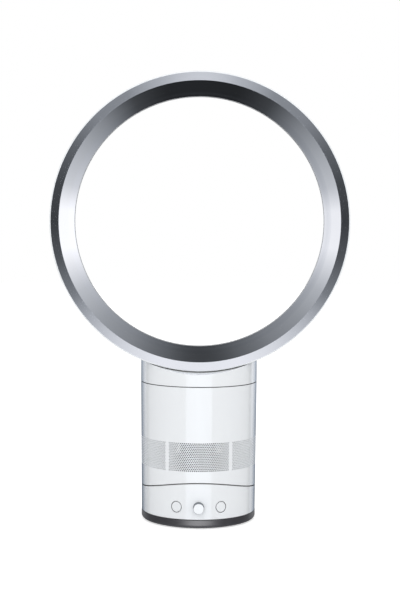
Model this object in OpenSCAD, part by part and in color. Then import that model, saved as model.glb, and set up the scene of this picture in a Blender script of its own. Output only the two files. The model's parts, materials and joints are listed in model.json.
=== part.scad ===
// Bladeless desk fan. Millimetres, origin on the floor under the body's axis, +Z up, front towards -Y.

/* [Body] */
// Outer radius of the body at its seam with the neck
body_r = 70.2; // [69.4:0.1:72]
// How much narrower the body is where it meets the foot
body_taper = 1.8; // [0.8:0.1:2.4]
// Height of the dark foot
foot_h = 10.8; // [10.6:0.1:11.4]
// Height of the seam between the motor casing and the neck
neck_z = 165.7; // [163:0.1:175]
// Wall of the moulded casings
wall = 2.4; // [2:0.1:2.6]
// Open line between two outer pieces
seam = 0.6; // [0.5:0.1:0.9]
// Radius of the rounded lower edge of the foot
foot_edge = 4; // [3:0.1:4.4]

/* [Loop] */
// Outer radius of the loop
loop_r = 178; // [170:1:190]
// Depth of the loop from front to back
loop_depth = 90; // [86:1:96]
// Radial width of the loop's section
loop_w = 25.2; // [24.4:0.1:27]
// How much the loop's outer wall narrows towards the back
loop_taper = 1; // [0.4:0.1:1.6]
// Wall of the loop's outer shell
loop_wall = 2; // [1.6:0.1:2.2]
// Width of the bevelled front lip
lip_w = 8.3; // [7:0.1:9]
// Width of the mouth that the air leaves by
mouth = 1; // [0.8:0.1:1.2]
// Height of the neck at its middle, from the seam up to the loop
neck_rise = 15.3; // [14.6:0.1:18]

/* [Tilt] */
// Height of the axis that the body tilts about
tilt_axis_z = 239.2; // [236:0.1:244]
// Height of the tilt seam at the sides of the body
tilt_seam_z = 41; // [40.4:0.1:43]
// Tilt each way
tilt_angle = 10; // [6:0.5:10]
// Distance of each tilt rail from the middle, as a share of the body's inside radius
rail_share = 0.455; // [0.44:0.005:0.48]
// Solid rim left at each end of a tilt slot
slot_rim = 3.3; // [3:0.1:6]

/* [Grille] */
// Lower edge of the band of holes
grille_z = 67.2; // [66.4:0.1:69]
// Height of the band of holes
grille_h = 33.3; // [32:0.1:34]
// Diameter of one hole
grille_hole = 3.6; // [2.4:0.1:4]
// Rows of holes
grille_rows = 5; // [3:1:5]
// Panels of holes round the front and sides
grille_panels = 5; // [1:2:5]

/* [Controls] */
// Height of the dial and the buttons
control_z = 25.5; // [25:0.1:26.2]
// Angle from the dial to each button, round the body
button_angle = 22.4; // [21.5:0.1:24]
// Diameter of a button
button_d = 12.8; // [11:0.1:13.2]
// Travel of a button
button_travel = 1.2; // [0.6:0.1:1.3]
// Diameter of the speed dial
dial_d = 13.2; // [12:0.1:14]
// How far the speed dial stands out of the casing
dial_proud = 8; // [4:0.1:10]
// Open ring round the dial and the buttons
control_gap = 0.6; // [0.4:0.1:0.8]

/* [Swing drive] */
// Radius of the spindle that the body swings on
spindle_r = 8; // [7:0.1:8.6]
// Gap between the swing motor's can and the casing
swing_motor_gap = 4; // [3:0.5:7]

/* [Air path] */
// Gap between the nozzle's collar and the wall of the air passage
passage_gap = 5; // [4:0.1:7]
// Width of the air passage round the motor bucket
passage_w = 7.5; // [7:0.1:9]
// Radius of the bell mouth's throat, as a share of the passage's
throat_share = 0.65; // [0.6:0.01:0.68]
// Number of impeller blades
blades = 9; // [5:1:11]
// Number of diffuser vanes
vanes = 11; // [7:1:13]

/* [Hidden] */
$fn = 96;

// Overrun of every cut past the face that it opens
cut = 1;
// Gap between pieces that are fitted together
fit = 0.3;
// Radial clearance of a shaft that turns in its bore
running = 0.05;

// Loop, worked out from its outer radius and width. Axial places run from front (-) to back (+).
loop_z = neck_z + neck_rise + loop_r;
front_y = -loop_depth / 2;
hole_r = loop_r - loop_w;
mouth_lip = 1;                                 // wall of the rear lip at the mouth
mouth_lip_len = 4;                             // straight part of that lip
nozzle_throat_r = hole_r + mouth_lip + mouth;
rear_r = (loop_r - loop_taper - hole_r) / 2;   // radius that rounds the back
rear_y = loop_depth / 2 - rear_r;
rim_r = loop_r - loop_wall;
taper_len = 7;                                 // straight part of the outer wall behind the rim
lip_r = rim_r - lip_w;
lip_y = front_y + lip_w;
inner_wall = 2;                                // wall of the inner shell
nose_r = 2.4;                                  // rounded edge of the inner shell in the mouth
nose_from = 162;                               // angle at which that edge leaves the mouth's surface
curve_len = 25;                                // stretch over which the band turns into the mouth
curve_rise = 6.6;                              // how far the surface opens over that stretch
band_end = [nozzle_throat_r + curve_rise, rear_y - curve_len];
throat_end = [nozzle_throat_r, rear_y];
band_slope = (band_end[0] - lip_r) / (band_end[1] - lip_y);
band_pull_share = 0.4;                         // reach of the curve's handles, as shares of its length
throat_pull_share = 0.3;
curve_steps = 10;
spacers = 10;                                  // ribs that keep the mouth's width
spacer_w = 2;

// Neck and the duct that feeds the loop
saddle_gap = 0.4;
saddle_wall = 2.6;
duct_r = 31;
duct_wall = 2;
duct_y = (rear_y + front_y) / 2 + inner_wall;
duct_drop = 5;                                 // how far the duct reaches below the saddle

// Body levels
body_top = neck_z - seam / 2;
tilt_r = tilt_axis_z - tilt_seam_z;
shoe_r = tilt_r - seam / 2;
rim_top_r = tilt_r + seam / 2;
waist_z = foot_h + seam;
waist_r = body_r - body_taper;
function body_radius(z) = waist_r + body_taper * (z - foot_h) / (neck_z - foot_h);
bore = waist_r - wall;                         // narrowest inside of the lower casing

// Joint of neck and motor casing
neck_floor = 2.4;                              // plate across the bottom of the neck
collar_wall = 3.4;
collar_drop = 13.4;                            // how far the collar reaches below the neck
lug_count = 3;
lug_reach = 3;                                 // how far a lug stands out of the collar
lug_h = 3;
lug_lift = 2.4;                                // height of the lugs above the collar's lower edge
lug_angle = 16;
lug_spare = 6;                                 // angle that its gap is wider than a lug
twist_angle = 30;                              // turn that frees the neck
bayonet_wall = 2.2;
bayonet_floor = 2.6;
bayonet_drop = 17;                             // from the seam down to the bayonet ring's underside
bayonet_top = 2.2;                             // from the seam down to the bayonet ring's top
bayonet_flange = 2.5;
bayonet_z = neck_z - bayonet_drop;
bayonet_r = body_radius(bayonet_z) - wall - fit;
collar_r = bayonet_r - bayonet_wall - lug_reach - 2 * fit;

// The drive under the deck keeps its fit: its radial places are in gear modules
gear_teeth = 48;
pinion_teeth = 12;
bore_modules = 66;                             // inside of the lower casing, in gear modules
gear_module = bore / bore_modules;
gear_centre = gear_module * (gear_teeth + pinion_teeth) / 2;

// Foot
foot_lip = 0.2;                                // how far the foot stands out past the casing
foot_r = waist_r + foot_lip;
base_z = 1.2;                                  // height of the base plate's underside above the floor
base_floor = 2.6;
base_wall = 3;
base_top = base_z + base_floor;
grip_in = 49 * gear_module;                    // rubber ring under the foot
grip_out = 61 * gear_module;
grip_sink = 1.2;                               // depth of the groove that holds it
spindle_bore = 5;
spindle_top = 20;
clip_depth = 1.2;
clip_h = 1;
clip_w = 3;
clip_r = spindle_r + clip_w;
hub_r = 13 * gear_module;
hub_top = 17;
hub_low = 8.5;
gear_seat_in = 15.2 * gear_module;
gear_seat_out = 21 * gear_module;
gear_z = 6;
gear_h = 5;
gear_bore = 16 * gear_module;
gear_screw_at = 18.6 * gear_module;
gear_screw_angles = [30, 150, 270];
lead_w = 8;                                    // width of the channel for the lead's cores
race_in = 40 * gear_module;
race_out = 46 * gear_module;
race_h = 1.5;
gland_z = 6.3;
gland_r = 4;
gland_bore = 2.9;                              // for a flexible lead 5.6 mm thick
gland_flange_r = 4.5;
gland_flange = 2;
gland_len = 8;

// Turntable and what stands on it
table_z = 12;
table_t = 3;
deck_z = table_z + table_t;
race_z = table_z - fit - race_h;
casing_boss_inset = 4.4;
casing_boss_at = bore - casing_boss_inset;
casing_boss_r = 4.6;
casing_boss_h = 7;
casing_boss_angles = [20, 160, 200, 340];
cradle_lift = 0.8;                             // from the rim's top to the cradle's upper side
cradle_r = rim_top_r + cradle_lift;            // radius of the cradle's upper side about the tilt axis
cradle_t = 3;
post_x = 46 * gear_module;
post_y = 26 * gear_module;
post_r = 4;
glide_x = [41, 53] * gear_module;
glide_y = [8, 30] * gear_module;
slot_w = 4.4;
slot_spare = 2;                                // length of a slot past the rail's furthest reach
rail_x = rail_share * bore;
slot_half = sqrt(pow(bore - fit, 2) - pow(rail_x + slot_w / 2, 2)) - slot_rim;
rail_len = 2 * shoe_r * sin(asin((slot_half - slot_spare) / shoe_r) - tilt_angle);
motor_y = gear_centre + 9 * gear_module;
swing_motor_r = bore - motor_y - swing_motor_gap;
swing_motor_h = 16.5;
shaft_r = 2;
shaft_reach = 10;
pinion_h = 4.2;
pinion_lift = 0.4;
ear_len = 6;
ear_h = 2;
ear_screw_x = swing_motor_r + ear_len / 2;

// Screws
screw_r = 1.5;
screw_head_r = 2.8;
screw_head_h = 2;
screw_bite = 8;
small_head_r = 2.1;
rail_screw_r = 1;

// Controls
board_y = 46 * gear_module;
board_t = 1.6;
board_h = 20;
holder_out = 58 * gear_module;
holder_t = 2;
holder_in = holder_out - holder_t;
switch_w = 6;
switch_t = 3;
encoder_w = 12;
encoder_t = 6;
bushing_r = 4.5;
bushing_len = 6.5;
dial_shaft_r = 3;
dial_seat = 3;                                 // how far the dial reaches behind the casing's wall
dial_bore_len = 6;
dial_edge = 0.8;
flange_r = 8;                                  // flange that keeps a button in its hole
flange_h = 1.5;
stem_r = 2.5;
spring_r = 3.9;
spring_wire_r = 0.35;
spring_turns = 4;
spring_steps = 16;
spring_sides = 6;

// Motor casing
shoe_t = 3;
shoe_rim_w = 9;
shoe_rim_in = bore - shoe_rim_w;
shoe_rim_lift = 0.8;                           // from the tilt seam's highest point up to the shoe's rim
shoe_rim_z = tilt_axis_z - sqrt(pow(shoe_r, 2) - pow(body_r, 2)) + shoe_rim_lift;
shoe_boss_inset = 3.2;
shoe_boss_at = bore - shoe_boss_inset;
shoe_boss_r = 4.2;
shoe_boss_top = 4.2;                           // from the bosses up to the grille
shoe_boss_h = grille_z - shoe_rim_z - shoe_boss_top;
foam_gap = 1.5;
foam_r = shoe_rim_in - foam_gap;
foam_lift = 2;                                 // from the shoe rim's top down to the foam's underside
foam_h = 8;
rail_web = 3;
rail_foot = 8;
rail_foot_h = 2.5;
rail_gap = 0.6;                                // between the cradle's underside and a rail's foot
rail_screw_share = 0.28;                       // of the rail's length, from its middle
rail_screw_y = rail_screw_share * rail_len;
panel_pitch = 65;                              // angle from one panel of holes to the next
panel_width = 60;
grille_columns = 10;
support_gap = 4;
support_h = 3;
support_reach = 10;
support_in = bore - support_reach;
support_w = 12;
mount_h = 2.5;
mount_r = 4;

// Air path, upwards from the supports and inwards from the collar
support_z = grille_z + grille_h + support_gap;
flange_z = support_z + mount_h;
housing_t = 2;
housing_flange_h = 2.5;
lip_seal_h = 1.6;
lip_seal_w = 2.5;
housing_flange_r = body_radius(flange_z) - wall - lip_seal_w;
passage_r = collar_r - collar_wall - housing_t - passage_gap;
throat_r = passage_r * throat_share;
bucket_r = passage_r - passage_w;
bell_drop = 7;                                 // throat below the flange
bell_lip_drop = 11.5;
bell_flare = 7;
bell_lip_r = throat_r + bell_flare;
cone_h = 26;                                   // height of the impeller's cone of blades
throat_z = flange_z - bell_drop;
cone_top = throat_z + cone_h;
tip_gap = 0.8;
nose_share = 0.36;
hub_nose_r = throat_r * nose_share;
hub_inset = 2;
hub_base_r = bucket_r - hub_inset;
hub_disc_h = 2;
hub_wall = 2.5;
blade_t = 1.4;
blade_sweep = 70;
blade_steps = 7;
foam_ring_in = passage_r + housing_t + foam_gap;
foam_ring_h = 14;
bucket_wall = 1.8;
bucket_gap = 1.4;                              // running gap between the impeller and the bucket
bucket_z = cone_top + bucket_gap;
bucket_floor = 2.4;
bucket_low_h = 15;
bucket_rim_h = 10;
dome_h = 14;
bucket_split = bucket_z + bucket_low_h;
bucket_rim = bucket_split + bucket_rim_h;
dome_share = 0.55;
bucket_top_r = bucket_r * dome_share;
bucket_top_z = bucket_rim + dome_h;
vane_t = 1.2;
vane_lean = 25;
vane_in = bucket_r + fit;
vane_sleeve = 1.4;
vane_h = 12;
vane_lift = 3;

// Motor
motor_shaft_r = 2.5;
bearing_r = 8;
bearing_h = 4;
bearing_seat = 1.6;
stator_share = 0.6;
air_gap = 0.6;                                 // between the magnet and the stator
stator_r = bucket_r * stator_share;
magnet_r = stator_r / 2;
stator_in = magnet_r + air_gap;
stator_h = 16;
stator_z = bucket_z + bucket_floor + bearing_h + bearing_seat;
top_bearing_z = stator_z + stator_h + bearing_seat;
nut_r = 5;
nut_h = 3;
shaft_proud = 0.6;                             // how far the shaft stands out of its nut
shaft_low = throat_z - nut_h - shaft_proud;
stator_legs = 3;
driver_t = 1.6;
driver_lift = 0.8;
bucket_screw_inset = 5.5;
bucket_screw_at = bucket_r - bucket_screw_inset;

// Points on an arc about (x, y), with a radius each way
function arc(x, y, rx, ry, from, to, steps) =
  [for (i = [0:steps]) let (a = from + (to - from) * i / steps) [x + rx * cos(a), y + ry * sin(a)]];

// Point on a cubic curve through a and d with handles b and c
function bezier(a, b, c, d, t) =
  pow(1 - t, 3) * a + 3 * t * pow(1 - t, 2) * b + 3 * t * t * (1 - t) * c + pow(t, 3) * d;

module ring(outer, inner, height) {
  difference() {
    cylinder(r = outer, h = height);
    translate([0, 0, -cut]) cylinder(r = inner, h = height + 2 * cut);
  }
}

module at(z) translate([0, 0, z]) children();

// Revolves an outline of [radius, depth] points about the loop's axis
module about_loop() at(loop_z) rotate([-90, 0, 0]) rotate_extrude($fn = 180) children();

// Solid bar along the loop's axis
module loop_bar(radius) at(loop_z) rotate([90, 0, 0])
  cylinder(r = radius, h = 2 * loop_depth + 2 * body_r, center = true, $fn = 180);

// Solid drum about the tilt axis
module tilt_drum(radius) at(tilt_axis_z) rotate([0, 90, 0])
  cylinder(r = radius, h = 3 * body_r, center = true, $fn = 180);

module tilt_shell(inner, outer) {
  difference() {
    tilt_drum(outer);
    tilt_drum(inner);
  }
}

// Solid of the body's outer shape, set in by a distance, between two heights
module body_core(low, high, inset) {
  rotate_extrude()
    polygon([[0, low], [body_radius(low) - inset, low], [body_radius(high) - inset, high], [0, high]]);
}

module body_wall(low, high) {
  difference() {
    body_core(low, high, 0);
    body_core(low - cut, high + cut, wall);
  }
}

// Faces out along a direction round the body, from its axis
module facing(angle, z) at(z) rotate([0, 0, angle - 90]) rotate([0, 90, 0]) children();

module base_plate() {
  color([0.27, 0.27, 0.29]) difference() {
    union() {
      rotate_extrude() polygon(concat(
        [[0, base_z]],
        arc(foot_r - foot_edge, base_z + foot_edge, foot_edge, foot_edge, -90, 0, 8),
        [[foot_r, foot_h], [foot_r - base_wall, foot_h], [foot_r - base_wall, base_top], [0, base_top]]
      ));
      at(base_top) ring(spindle_r, spindle_bore, spindle_top - base_top);
      at(base_z) ring(gear_seat_out, gear_seat_in, gear_z - base_z);
      at(base_z) ring(race_out, race_in, race_z - base_z);
    }
    at(base_z - cut) ring(grip_out, grip_in, grip_sink + cut);
    at(hub_top + fit - running) ring(spindle_r + cut, spindle_r - clip_depth, clip_h + 2 * running);
    gland_hole();
    lead_channel();
    for (a = gear_screw_angles) rotate([0, 0, a]) translate([gear_screw_at, 0, base_top])
      cylinder(r = screw_r, h = gear_z);
  }
}

// Way for the lead's two cores, from the gland under the fixed gear and up the spindle
module lead_channel() {
  translate([-lead_w / 2, 0, base_top]) cube([lead_w, race_in, gear_z - base_top]);
  translate([-lead_w / 2, race_in - cut, base_top]) cube([lead_w, race_out - race_in + 2 * cut, foot_h]);
}

module gland_hole() {
  at(gland_z) rotate([-90, 0, 0]) at(foot_r + gland_flange - gland_len - running)
    cylinder(r = gland_r + running, h = gland_len + cut);
}

module rubber_foot() {
  color([0.16, 0.16, 0.17]) ring(grip_out - running, grip_in + running, base_z + grip_sink);
}

module cable_gland() {
  color([0.2, 0.2, 0.21]) at(gland_z) rotate([-90, 0, 0]) difference() {
    union() {
      at(foot_r + gland_flange - gland_len) cylinder(r = gland_r, h = gland_len);
      at(foot_r + running) cylinder(r = gland_flange_r, h = gland_flange - running);
    }
    at(foot_r - gland_len) cylinder(r = gland_bore, h = gland_len + gland_flange + cut);
  }
}

// Outline of a gear with involute flanks and stub teeth
pressure = 20;
addendum_share = 0.75;
dedendum_share = 1;
backlash = 0.14;
function involute(a) = tan(a) * 180 / PI - a;
function half_tooth(radius, pitch, base, teeth) =
  90 / teeth - backlash / pitch * 90 / PI + involute(pressure)
    - (radius > base ? involute(acos(base / radius)) : 0);
function tooth(k, teeth) =
  let (pitch = gear_module * teeth / 2, base = pitch * cos(pressure),
    low = pitch - dedendum_share * gear_module, high = pitch + addendum_share * gear_module,
    radii = [for (i = [0:4]) low + (high - low) * i / 4])
  concat(
    [for (i = [0:4]) let (a = 360 * k / teeth - half_tooth(radii[i], pitch, base,
      teeth)) radii[i] * [cos(a), sin(a)]],
    [for (i = [4:-1:0]) let (a = 360 * k / teeth + half_tooth(radii[i], pitch, base, teeth))
      radii[i] * [cos(a), sin(a)]]);

module gear_shape(teeth) polygon([for (k = [0:teeth - 1]) each tooth(k, teeth)]);

module swing_gear() {
  color([0.86, 0.85, 0.8]) at(gear_z) difference() {
    linear_extrude(gear_h) rotate(90) gear_shape(gear_teeth);
    at(-cut) cylinder(r = gear_bore, h = gear_h + 2 * cut);
    for (a = gear_screw_angles) rotate([0, 0, a]) translate([gear_screw_at, 0, -cut]) {
      cylinder(r = screw_r + running, h = gear_h + 2 * cut);
      at(gear_h + cut - screw_head_h) cylinder(r = small_head_r, h = screw_head_h);
    }
  }
}

module gear_screws() {
  head = gear_z + gear_h - base_top - screw_head_h + cut;
  color([0.6, 0.6, 0.62]) for (a = gear_screw_angles) rotate([0, 0, a])
    translate([gear_screw_at, 0, base_top + running]) {
    cylinder(r = screw_r - running, h = head + fit);
    at(head) cylinder(r = small_head_r - running, h = screw_head_h - cut - 2 * running);
  }
}

module slip_race() {
  color([0.92, 0.92, 0.88]) at(race_z) ring(race_out, race_in, race_h);
}

module retaining_ring() {
  color([0.55, 0.55, 0.57]) at(hub_top + fit) ring(clip_r, spindle_r - clip_depth + running, clip_h);
}

module turntable() {
  color([0.8, 0.8, 0.82]) difference() {
    union() {
      at(table_z) cylinder(r = bore - fit, h = table_t);
      at(hub_low) cylinder(r = hub_r, h = hub_top - hub_low);
    }
    cylinder(r = spindle_r + running, h = hub_top + cut);
    translate([0, gear_centre, 0])
      cylinder(r = pinion_teeth * gear_module / 2 + gear_module + fit, h = deck_z + cut);
    for (a = casing_boss_angles) rotate([0, 0, a]) translate([casing_boss_at, 0, 0]) screw_hole();
    for (x = [-post_x, post_x], y = [-post_y, post_y]) translate([x, y, 0]) screw_hole();
    for (x = [-ear_screw_x, ear_screw_x]) translate([x, motor_y, 0]) screw_hole();
  }
}

// Hole that lets a screw through the turntable
module screw_hole() cylinder(r = screw_r + running, h = deck_z + cut);

module lower_casing() {
  color([0.93, 0.94, 0.96]) difference() {
    union() {
      difference() {
        body_wall(waist_z, tilt_seam_z + body_r / 2);
        tilt_drum(rim_top_r);
      }
      for (a = casing_boss_angles) rotate([0, 0, a]) intersection() {
        translate([casing_boss_at, 0, deck_z]) cylinder(r = casing_boss_r, h = casing_boss_h);
        rotate([0, 0, -a]) body_core(deck_z, deck_z + casing_boss_h, wall / 2);
      }
    }
    for (a = casing_boss_angles) rotate([0, 0, a]) translate([casing_boss_at, 0, table_z])
      cylinder(r = screw_r, h = table_t + casing_boss_h - cut);
    for (side = [-1, 1]) facing(side * button_angle, control_z) control_hole(button_d);
    facing(0, control_z) control_hole(dial_d);
  }
}

module control_hole(width) at(holder_out) cylinder(r = width / 2 + control_gap,
  h = 2 * wall + waist_r - holder_out);

module casing_screws() {
  color([0.6, 0.6, 0.62]) for (a = casing_boss_angles) rotate([0, 0, a])
    translate([casing_boss_at, 0, table_z - screw_head_h + running]) {
      cylinder(r = screw_head_r, h = screw_head_h - 2 * running);
      cylinder(r = screw_r - running, h = screw_head_h + table_t + casing_boss_h / 2);
    }
}

module tilt_cradle() {
  color([0.78, 0.79, 0.81]) difference() {
    union() {
      intersection() {
        tilt_shell(cradle_r, cradle_r + cradle_t);
        at(deck_z) cylinder(r = bore - fit, h = body_r);
      }
      for (x = [-post_x, post_x], y = [-post_y, post_y]) difference() {
        translate([x, y, deck_z]) cylinder(r = post_r, h = body_r);
        tilt_drum(cradle_r + cradle_t / 2);
      }
    }
    for (x = [-rail_x, rail_x]) translate([x - slot_w / 2, -slot_half, deck_z])
      cube([slot_w, 2 * slot_half, body_r]);
    for (x = [-post_x, post_x], y = [-post_y, post_y]) translate([x, y, table_z])
      cylinder(r = screw_r, h = table_t + screw_bite + cut);
  }
}

module cradle_screws() {
  color([0.6, 0.6, 0.62]) for (x = [-post_x, post_x], y = [-post_y, post_y])
    translate([x, y, table_z - screw_head_h + running]) {
      cylinder(r = screw_head_r, h = screw_head_h - 2 * running);
      cylinder(r = screw_r - running, h = screw_head_h + table_t + screw_bite - cut);
    }
}

module glide_pads() {
  color([0.95, 0.95, 0.92]) intersection() {
    tilt_shell(shoe_r + fit, cradle_r);
    union() for (x = [-glide_x[1], glide_x[0]], y = [-glide_y[1], glide_y[0]])
      translate([x, y, deck_z]) cube([glide_x[1] - glide_x[0], glide_y[1] - glide_y[0], body_r]);
  }
}

module swing_motor() {
  color([0.7, 0.71, 0.73]) difference() {
    union() {
      translate([0, motor_y, deck_z]) cylinder(r = swing_motor_r, h = swing_motor_h);
      translate([-swing_motor_r - ear_len, motor_y - ear_len / 2, deck_z])
        cube([2 * swing_motor_r + 2 * ear_len, ear_len, ear_h]);
    }
    translate([0, gear_centre, deck_z - cut]) cylinder(r = shaft_r + running, h = shaft_reach + cut + fit);
    for (x = [-ear_screw_x, ear_screw_x]) translate([x, motor_y, table_z])
      cylinder(r = screw_r + running, h = table_t + ear_h + cut);
  }
}

module swing_motor_screws() {
  color([0.6, 0.6, 0.62]) for (x = [-ear_screw_x, ear_screw_x])
    translate([x, motor_y, deck_z + ear_h + running]) {
    cylinder(r = small_head_r, h = screw_head_h);
    at(-table_t - ear_h) cylinder(r = screw_r - running, h = table_t + ear_h + cut);
  }
}

module swing_pinion() {
  color([0.86, 0.85, 0.8]) translate([0, gear_centre, gear_z + pinion_lift]) {
    linear_extrude(pinion_h) rotate(-90 + 180 / pinion_teeth) gear_shape(pinion_teeth);
    cylinder(r = shaft_r, h = deck_z + shaft_reach - gear_z - pinion_lift);
  }
}

board_half = sqrt(pow(holder_in, 2) - pow(board_y, 2)) - fit;

// Distance of a button's inner end from the body's axis: its travel away from the switch
stem_end = (board_y + switch_t + fit + stem_r * sin(button_angle)) / cos(button_angle) + button_travel;

module control_board() {
  color([0.1, 0.35, 0.2]) translate([-board_half, -board_y, deck_z]) cube([2 * board_half, board_t, board_h]);
}

module switch_holder() {
  color([0.75, 0.76, 0.78]) difference() {
    intersection() {
      at(deck_z) ring(holder_out, holder_in, board_h);
      translate([-holder_out, -holder_out - cut, deck_z])
        cube([2 * holder_out, holder_out + cut - board_y + board_t, board_h]);
    }
    for (side = [-1, 1]) facing(side * button_angle, control_z) at(board_y)
      cylinder(r = stem_r + fit, h = holder_out - board_y + cut);
    facing(0, control_z) at(board_y) cylinder(r = bushing_r + fit, h = holder_out - board_y + cut);
  }
}

// A switch sits on the board behind the end of its button's stem
module push_switches() {
  color([0.15, 0.15, 0.16]) for (side = [-1, 1])
    translate([side * board_y * tan(button_angle) - switch_w / 2, -board_y - switch_t,
      control_z - switch_w / 2]) cube([switch_w, switch_t, switch_w]);
}

module dial_encoder() {
  color([0.3, 0.3, 0.32]) difference() {
    union() {
      translate([-encoder_w / 2, -board_y - encoder_t, control_z - encoder_w / 2])
        cube([encoder_w, encoder_t, encoder_w]);
      facing(0, control_z) at(board_y + encoder_t) cylinder(r = bushing_r, h = bushing_len);
    }
    facing(0, control_z) at(board_y + board_t) cylinder(r = dial_shaft_r + running,
      h = encoder_t + bushing_len + cut);
  }
}

dial_back = waist_r - wall - dial_seat;
dial_front = body_radius(control_z) + dial_proud;

module speed_dial() {
  color([0.85, 0.87, 0.9]) facing(0, control_z) difference() {
    at(dial_back) rotate_extrude() polygon([
      [0, 0], [dial_d / 2, 0], [dial_d / 2, dial_front - dial_back - dial_edge],
      [dial_d / 2 - dial_edge, dial_front - dial_back], [0, dial_front - dial_back]
    ]);
    at(dial_back - cut) cylinder(r = dial_shaft_r + running, h = dial_bore_len + cut);
  }
}

module dial_shaft() {
  color([0.6, 0.6, 0.62]) facing(0, control_z) at(board_y + board_t + fit)
    cylinder(r = dial_shaft_r, h = dial_back + dial_bore_len - board_y - board_t - 2 * fit);
}

flange_out = sqrt(pow(body_radius(control_z) - wall, 2) - pow(flange_r, 2)) - fit - running;

module button(side) {
  color([0.93, 0.94, 0.96]) intersection() {
    facing(side * button_angle, control_z) {
      at(flange_out - flange_h) cylinder(r = button_d / 2, h = waist_r);
      at(flange_out - flange_h) cylinder(r = flange_r, h = flange_h);
      at(stem_end) cylinder(r = stem_r, h = flange_out - stem_end);
    }
    body_core(waist_z, tilt_seam_z, 0);
  }
}

module power_button() button(1);

module swing_button() button(-1);

// Coil spring along +Z, one unbroken tube with its ends closed
module coil_spring(radius, wire, height, turns) {
  last = turns * spring_steps;
  points = [for (i = [0:last]) let (turn = 360 * i / spring_steps,
    rise = wire + (height - 2 * wire) * i / last)
    for (j = [0:spring_sides - 1]) let (b = 360 * j / spring_sides)
      [(radius + wire * cos(b)) * cos(turn), (radius + wire * cos(b)) * sin(turn), rise + wire * sin(b)]];
  sides = [for (i = [0:last - 1], j = [0:spring_sides - 1])
    let (k = (j + 1) % spring_sides, a = i * spring_sides, b = (i + 1) * spring_sides)
      each [[a + j, a + k, b + k], [a + j, b + k, b + j]]];
  start = [for (j = [1:spring_sides - 2]) [0, j + 1, j]];
  end_at = last * spring_sides;
  end = [for (j = [1:spring_sides - 2]) [end_at, end_at + j, end_at + j + 1]];
  polyhedron(points, concat(sides, start, end));
}

module button_spring(side) {
  color([0.7, 0.7, 0.72]) facing(side * button_angle, control_z) at(holder_out + running)
    coil_spring(spring_r, spring_wire_r, flange_out - flange_h - holder_out - 2 * running, spring_turns);
}

module power_spring() button_spring(1);

module swing_spring() button_spring(-1);

// Holes of the grille: hexagonal rows in panels round the front and sides
module grille_holes() {
  pitch = panel_width / grille_columns;
  row = (grille_h - grille_hole) / (grille_rows - 1);
  for (p = [0:grille_panels - 1], i = [0:grille_rows - 1], j = [0:grille_columns - 1])
    if (i % 2 == 0 || j < grille_columns - 1)
      facing((p - (grille_panels - 1) / 2) * panel_pitch +
        (j + (i % 2) / 2 - (grille_columns - 1) / 2) * pitch, grille_z + grille_hole / 2 + i * row)
        at(waist_r - 2 * wall) cylinder(r = grille_hole / 2, h = 4 * wall, $fn = 16);
}

module motor_casing() {
  color([0.93, 0.94, 0.96]) difference() {
    union() {
      intersection() {
        body_wall(tilt_seam_z - wall, body_top);
        union() {
          tilt_drum(shoe_r);
          at(tilt_axis_z - shoe_r + body_r / 2) cylinder(r = body_r + cut, h = body_top);
        }
      }
      for (a = [45:90:315]) rotate([0, 0, a]) intersection() {
        translate([shoe_boss_at, 0, shoe_rim_z]) cylinder(r = shoe_boss_r, h = shoe_boss_h);
        body_core(shoe_rim_z, shoe_rim_z + shoe_boss_h, wall / 2);
      }
      for (a = [90:120:330]) rotate([0, 0, a]) intersection() {
        translate([support_in, -support_w / 2, support_z - support_h])
          cube([body_r - support_in, support_w, support_h]);
        body_core(support_z - support_h, support_z, wall / 2);
      }
    }
    for (a = [45:90:315]) rotate([0, 0, a]) translate([shoe_boss_at, 0, shoe_rim_z - cut])
      cylinder(r = screw_r, h = shoe_boss_h);
    grille_holes();
  }
}

module tilt_shoe() {
  color([0.78, 0.79, 0.81]) difference() {
    intersection() {
      at(tilt_axis_z - shoe_r - cut) cylinder(r = bore, h = shoe_rim_z - tilt_axis_z + shoe_r + cut);
      tilt_drum(shoe_r);
    }
    intersection() {
      at(tilt_axis_z - shoe_r) cylinder(r = shoe_rim_in, h = shoe_r);
      tilt_drum(shoe_r - shoe_t);
    }
    for (a = [45:90:315]) rotate([0, 0, a]) translate([shoe_boss_at, 0, 0]) {
      cylinder(r = screw_r + running, h = shoe_rim_z + cut);
      cylinder(r = screw_head_r + running, h = shoe_rim_z - screw_head_h);
    }
    for (x = [-rail_x, rail_x], y = [-rail_screw_y, rail_screw_y]) translate([x, y, 0])
      cylinder(r = screw_r + running, h = shoe_rim_z);
  }
}

module rail_span(inner, outer, width) {
  intersection() {
    tilt_shell(inner, outer);
    union() for (x = [-rail_x, rail_x]) translate([x - width / 2, -rail_len / 2, 0])
      cube([width, rail_len, tilt_axis_z]);
  }
}

rail_foot_r = cradle_r + cradle_t + rail_gap;

module tilt_rails() {
  color([0.9, 0.9, 0.86]) difference() {
    union() {
      rail_span(shoe_r, rail_foot_r + rail_foot_h, rail_web);
      rail_span(rail_foot_r, rail_foot_r + rail_foot_h, rail_foot);
    }
    for (x = [-rail_x, rail_x], y = [-rail_screw_y, rail_screw_y])
      translate([x, y, tilt_axis_z - shoe_r - screw_bite / 2]) cylinder(r = rail_screw_r, h = screw_bite);
  }
}

module rail_screws() {
  color([0.6, 0.6, 0.62]) for (x = [-rail_x, rail_x], y = [-rail_screw_y, rail_screw_y]) {
    seat = tilt_axis_z - sqrt(pow(shoe_r - shoe_t, 2) - pow(rail_screw_y + screw_head_r, 2)) + running;
    translate([x, y, seat]) cylinder(r = screw_head_r, h = screw_head_h);
    translate([x, y, tilt_axis_z - shoe_r - screw_bite / 2 + fit])
      cylinder(r = screw_r - rail_web / 6 - running,
      h = seat + cut - tilt_axis_z + shoe_r + screw_bite / 2 - fit);
  }
}

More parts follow.
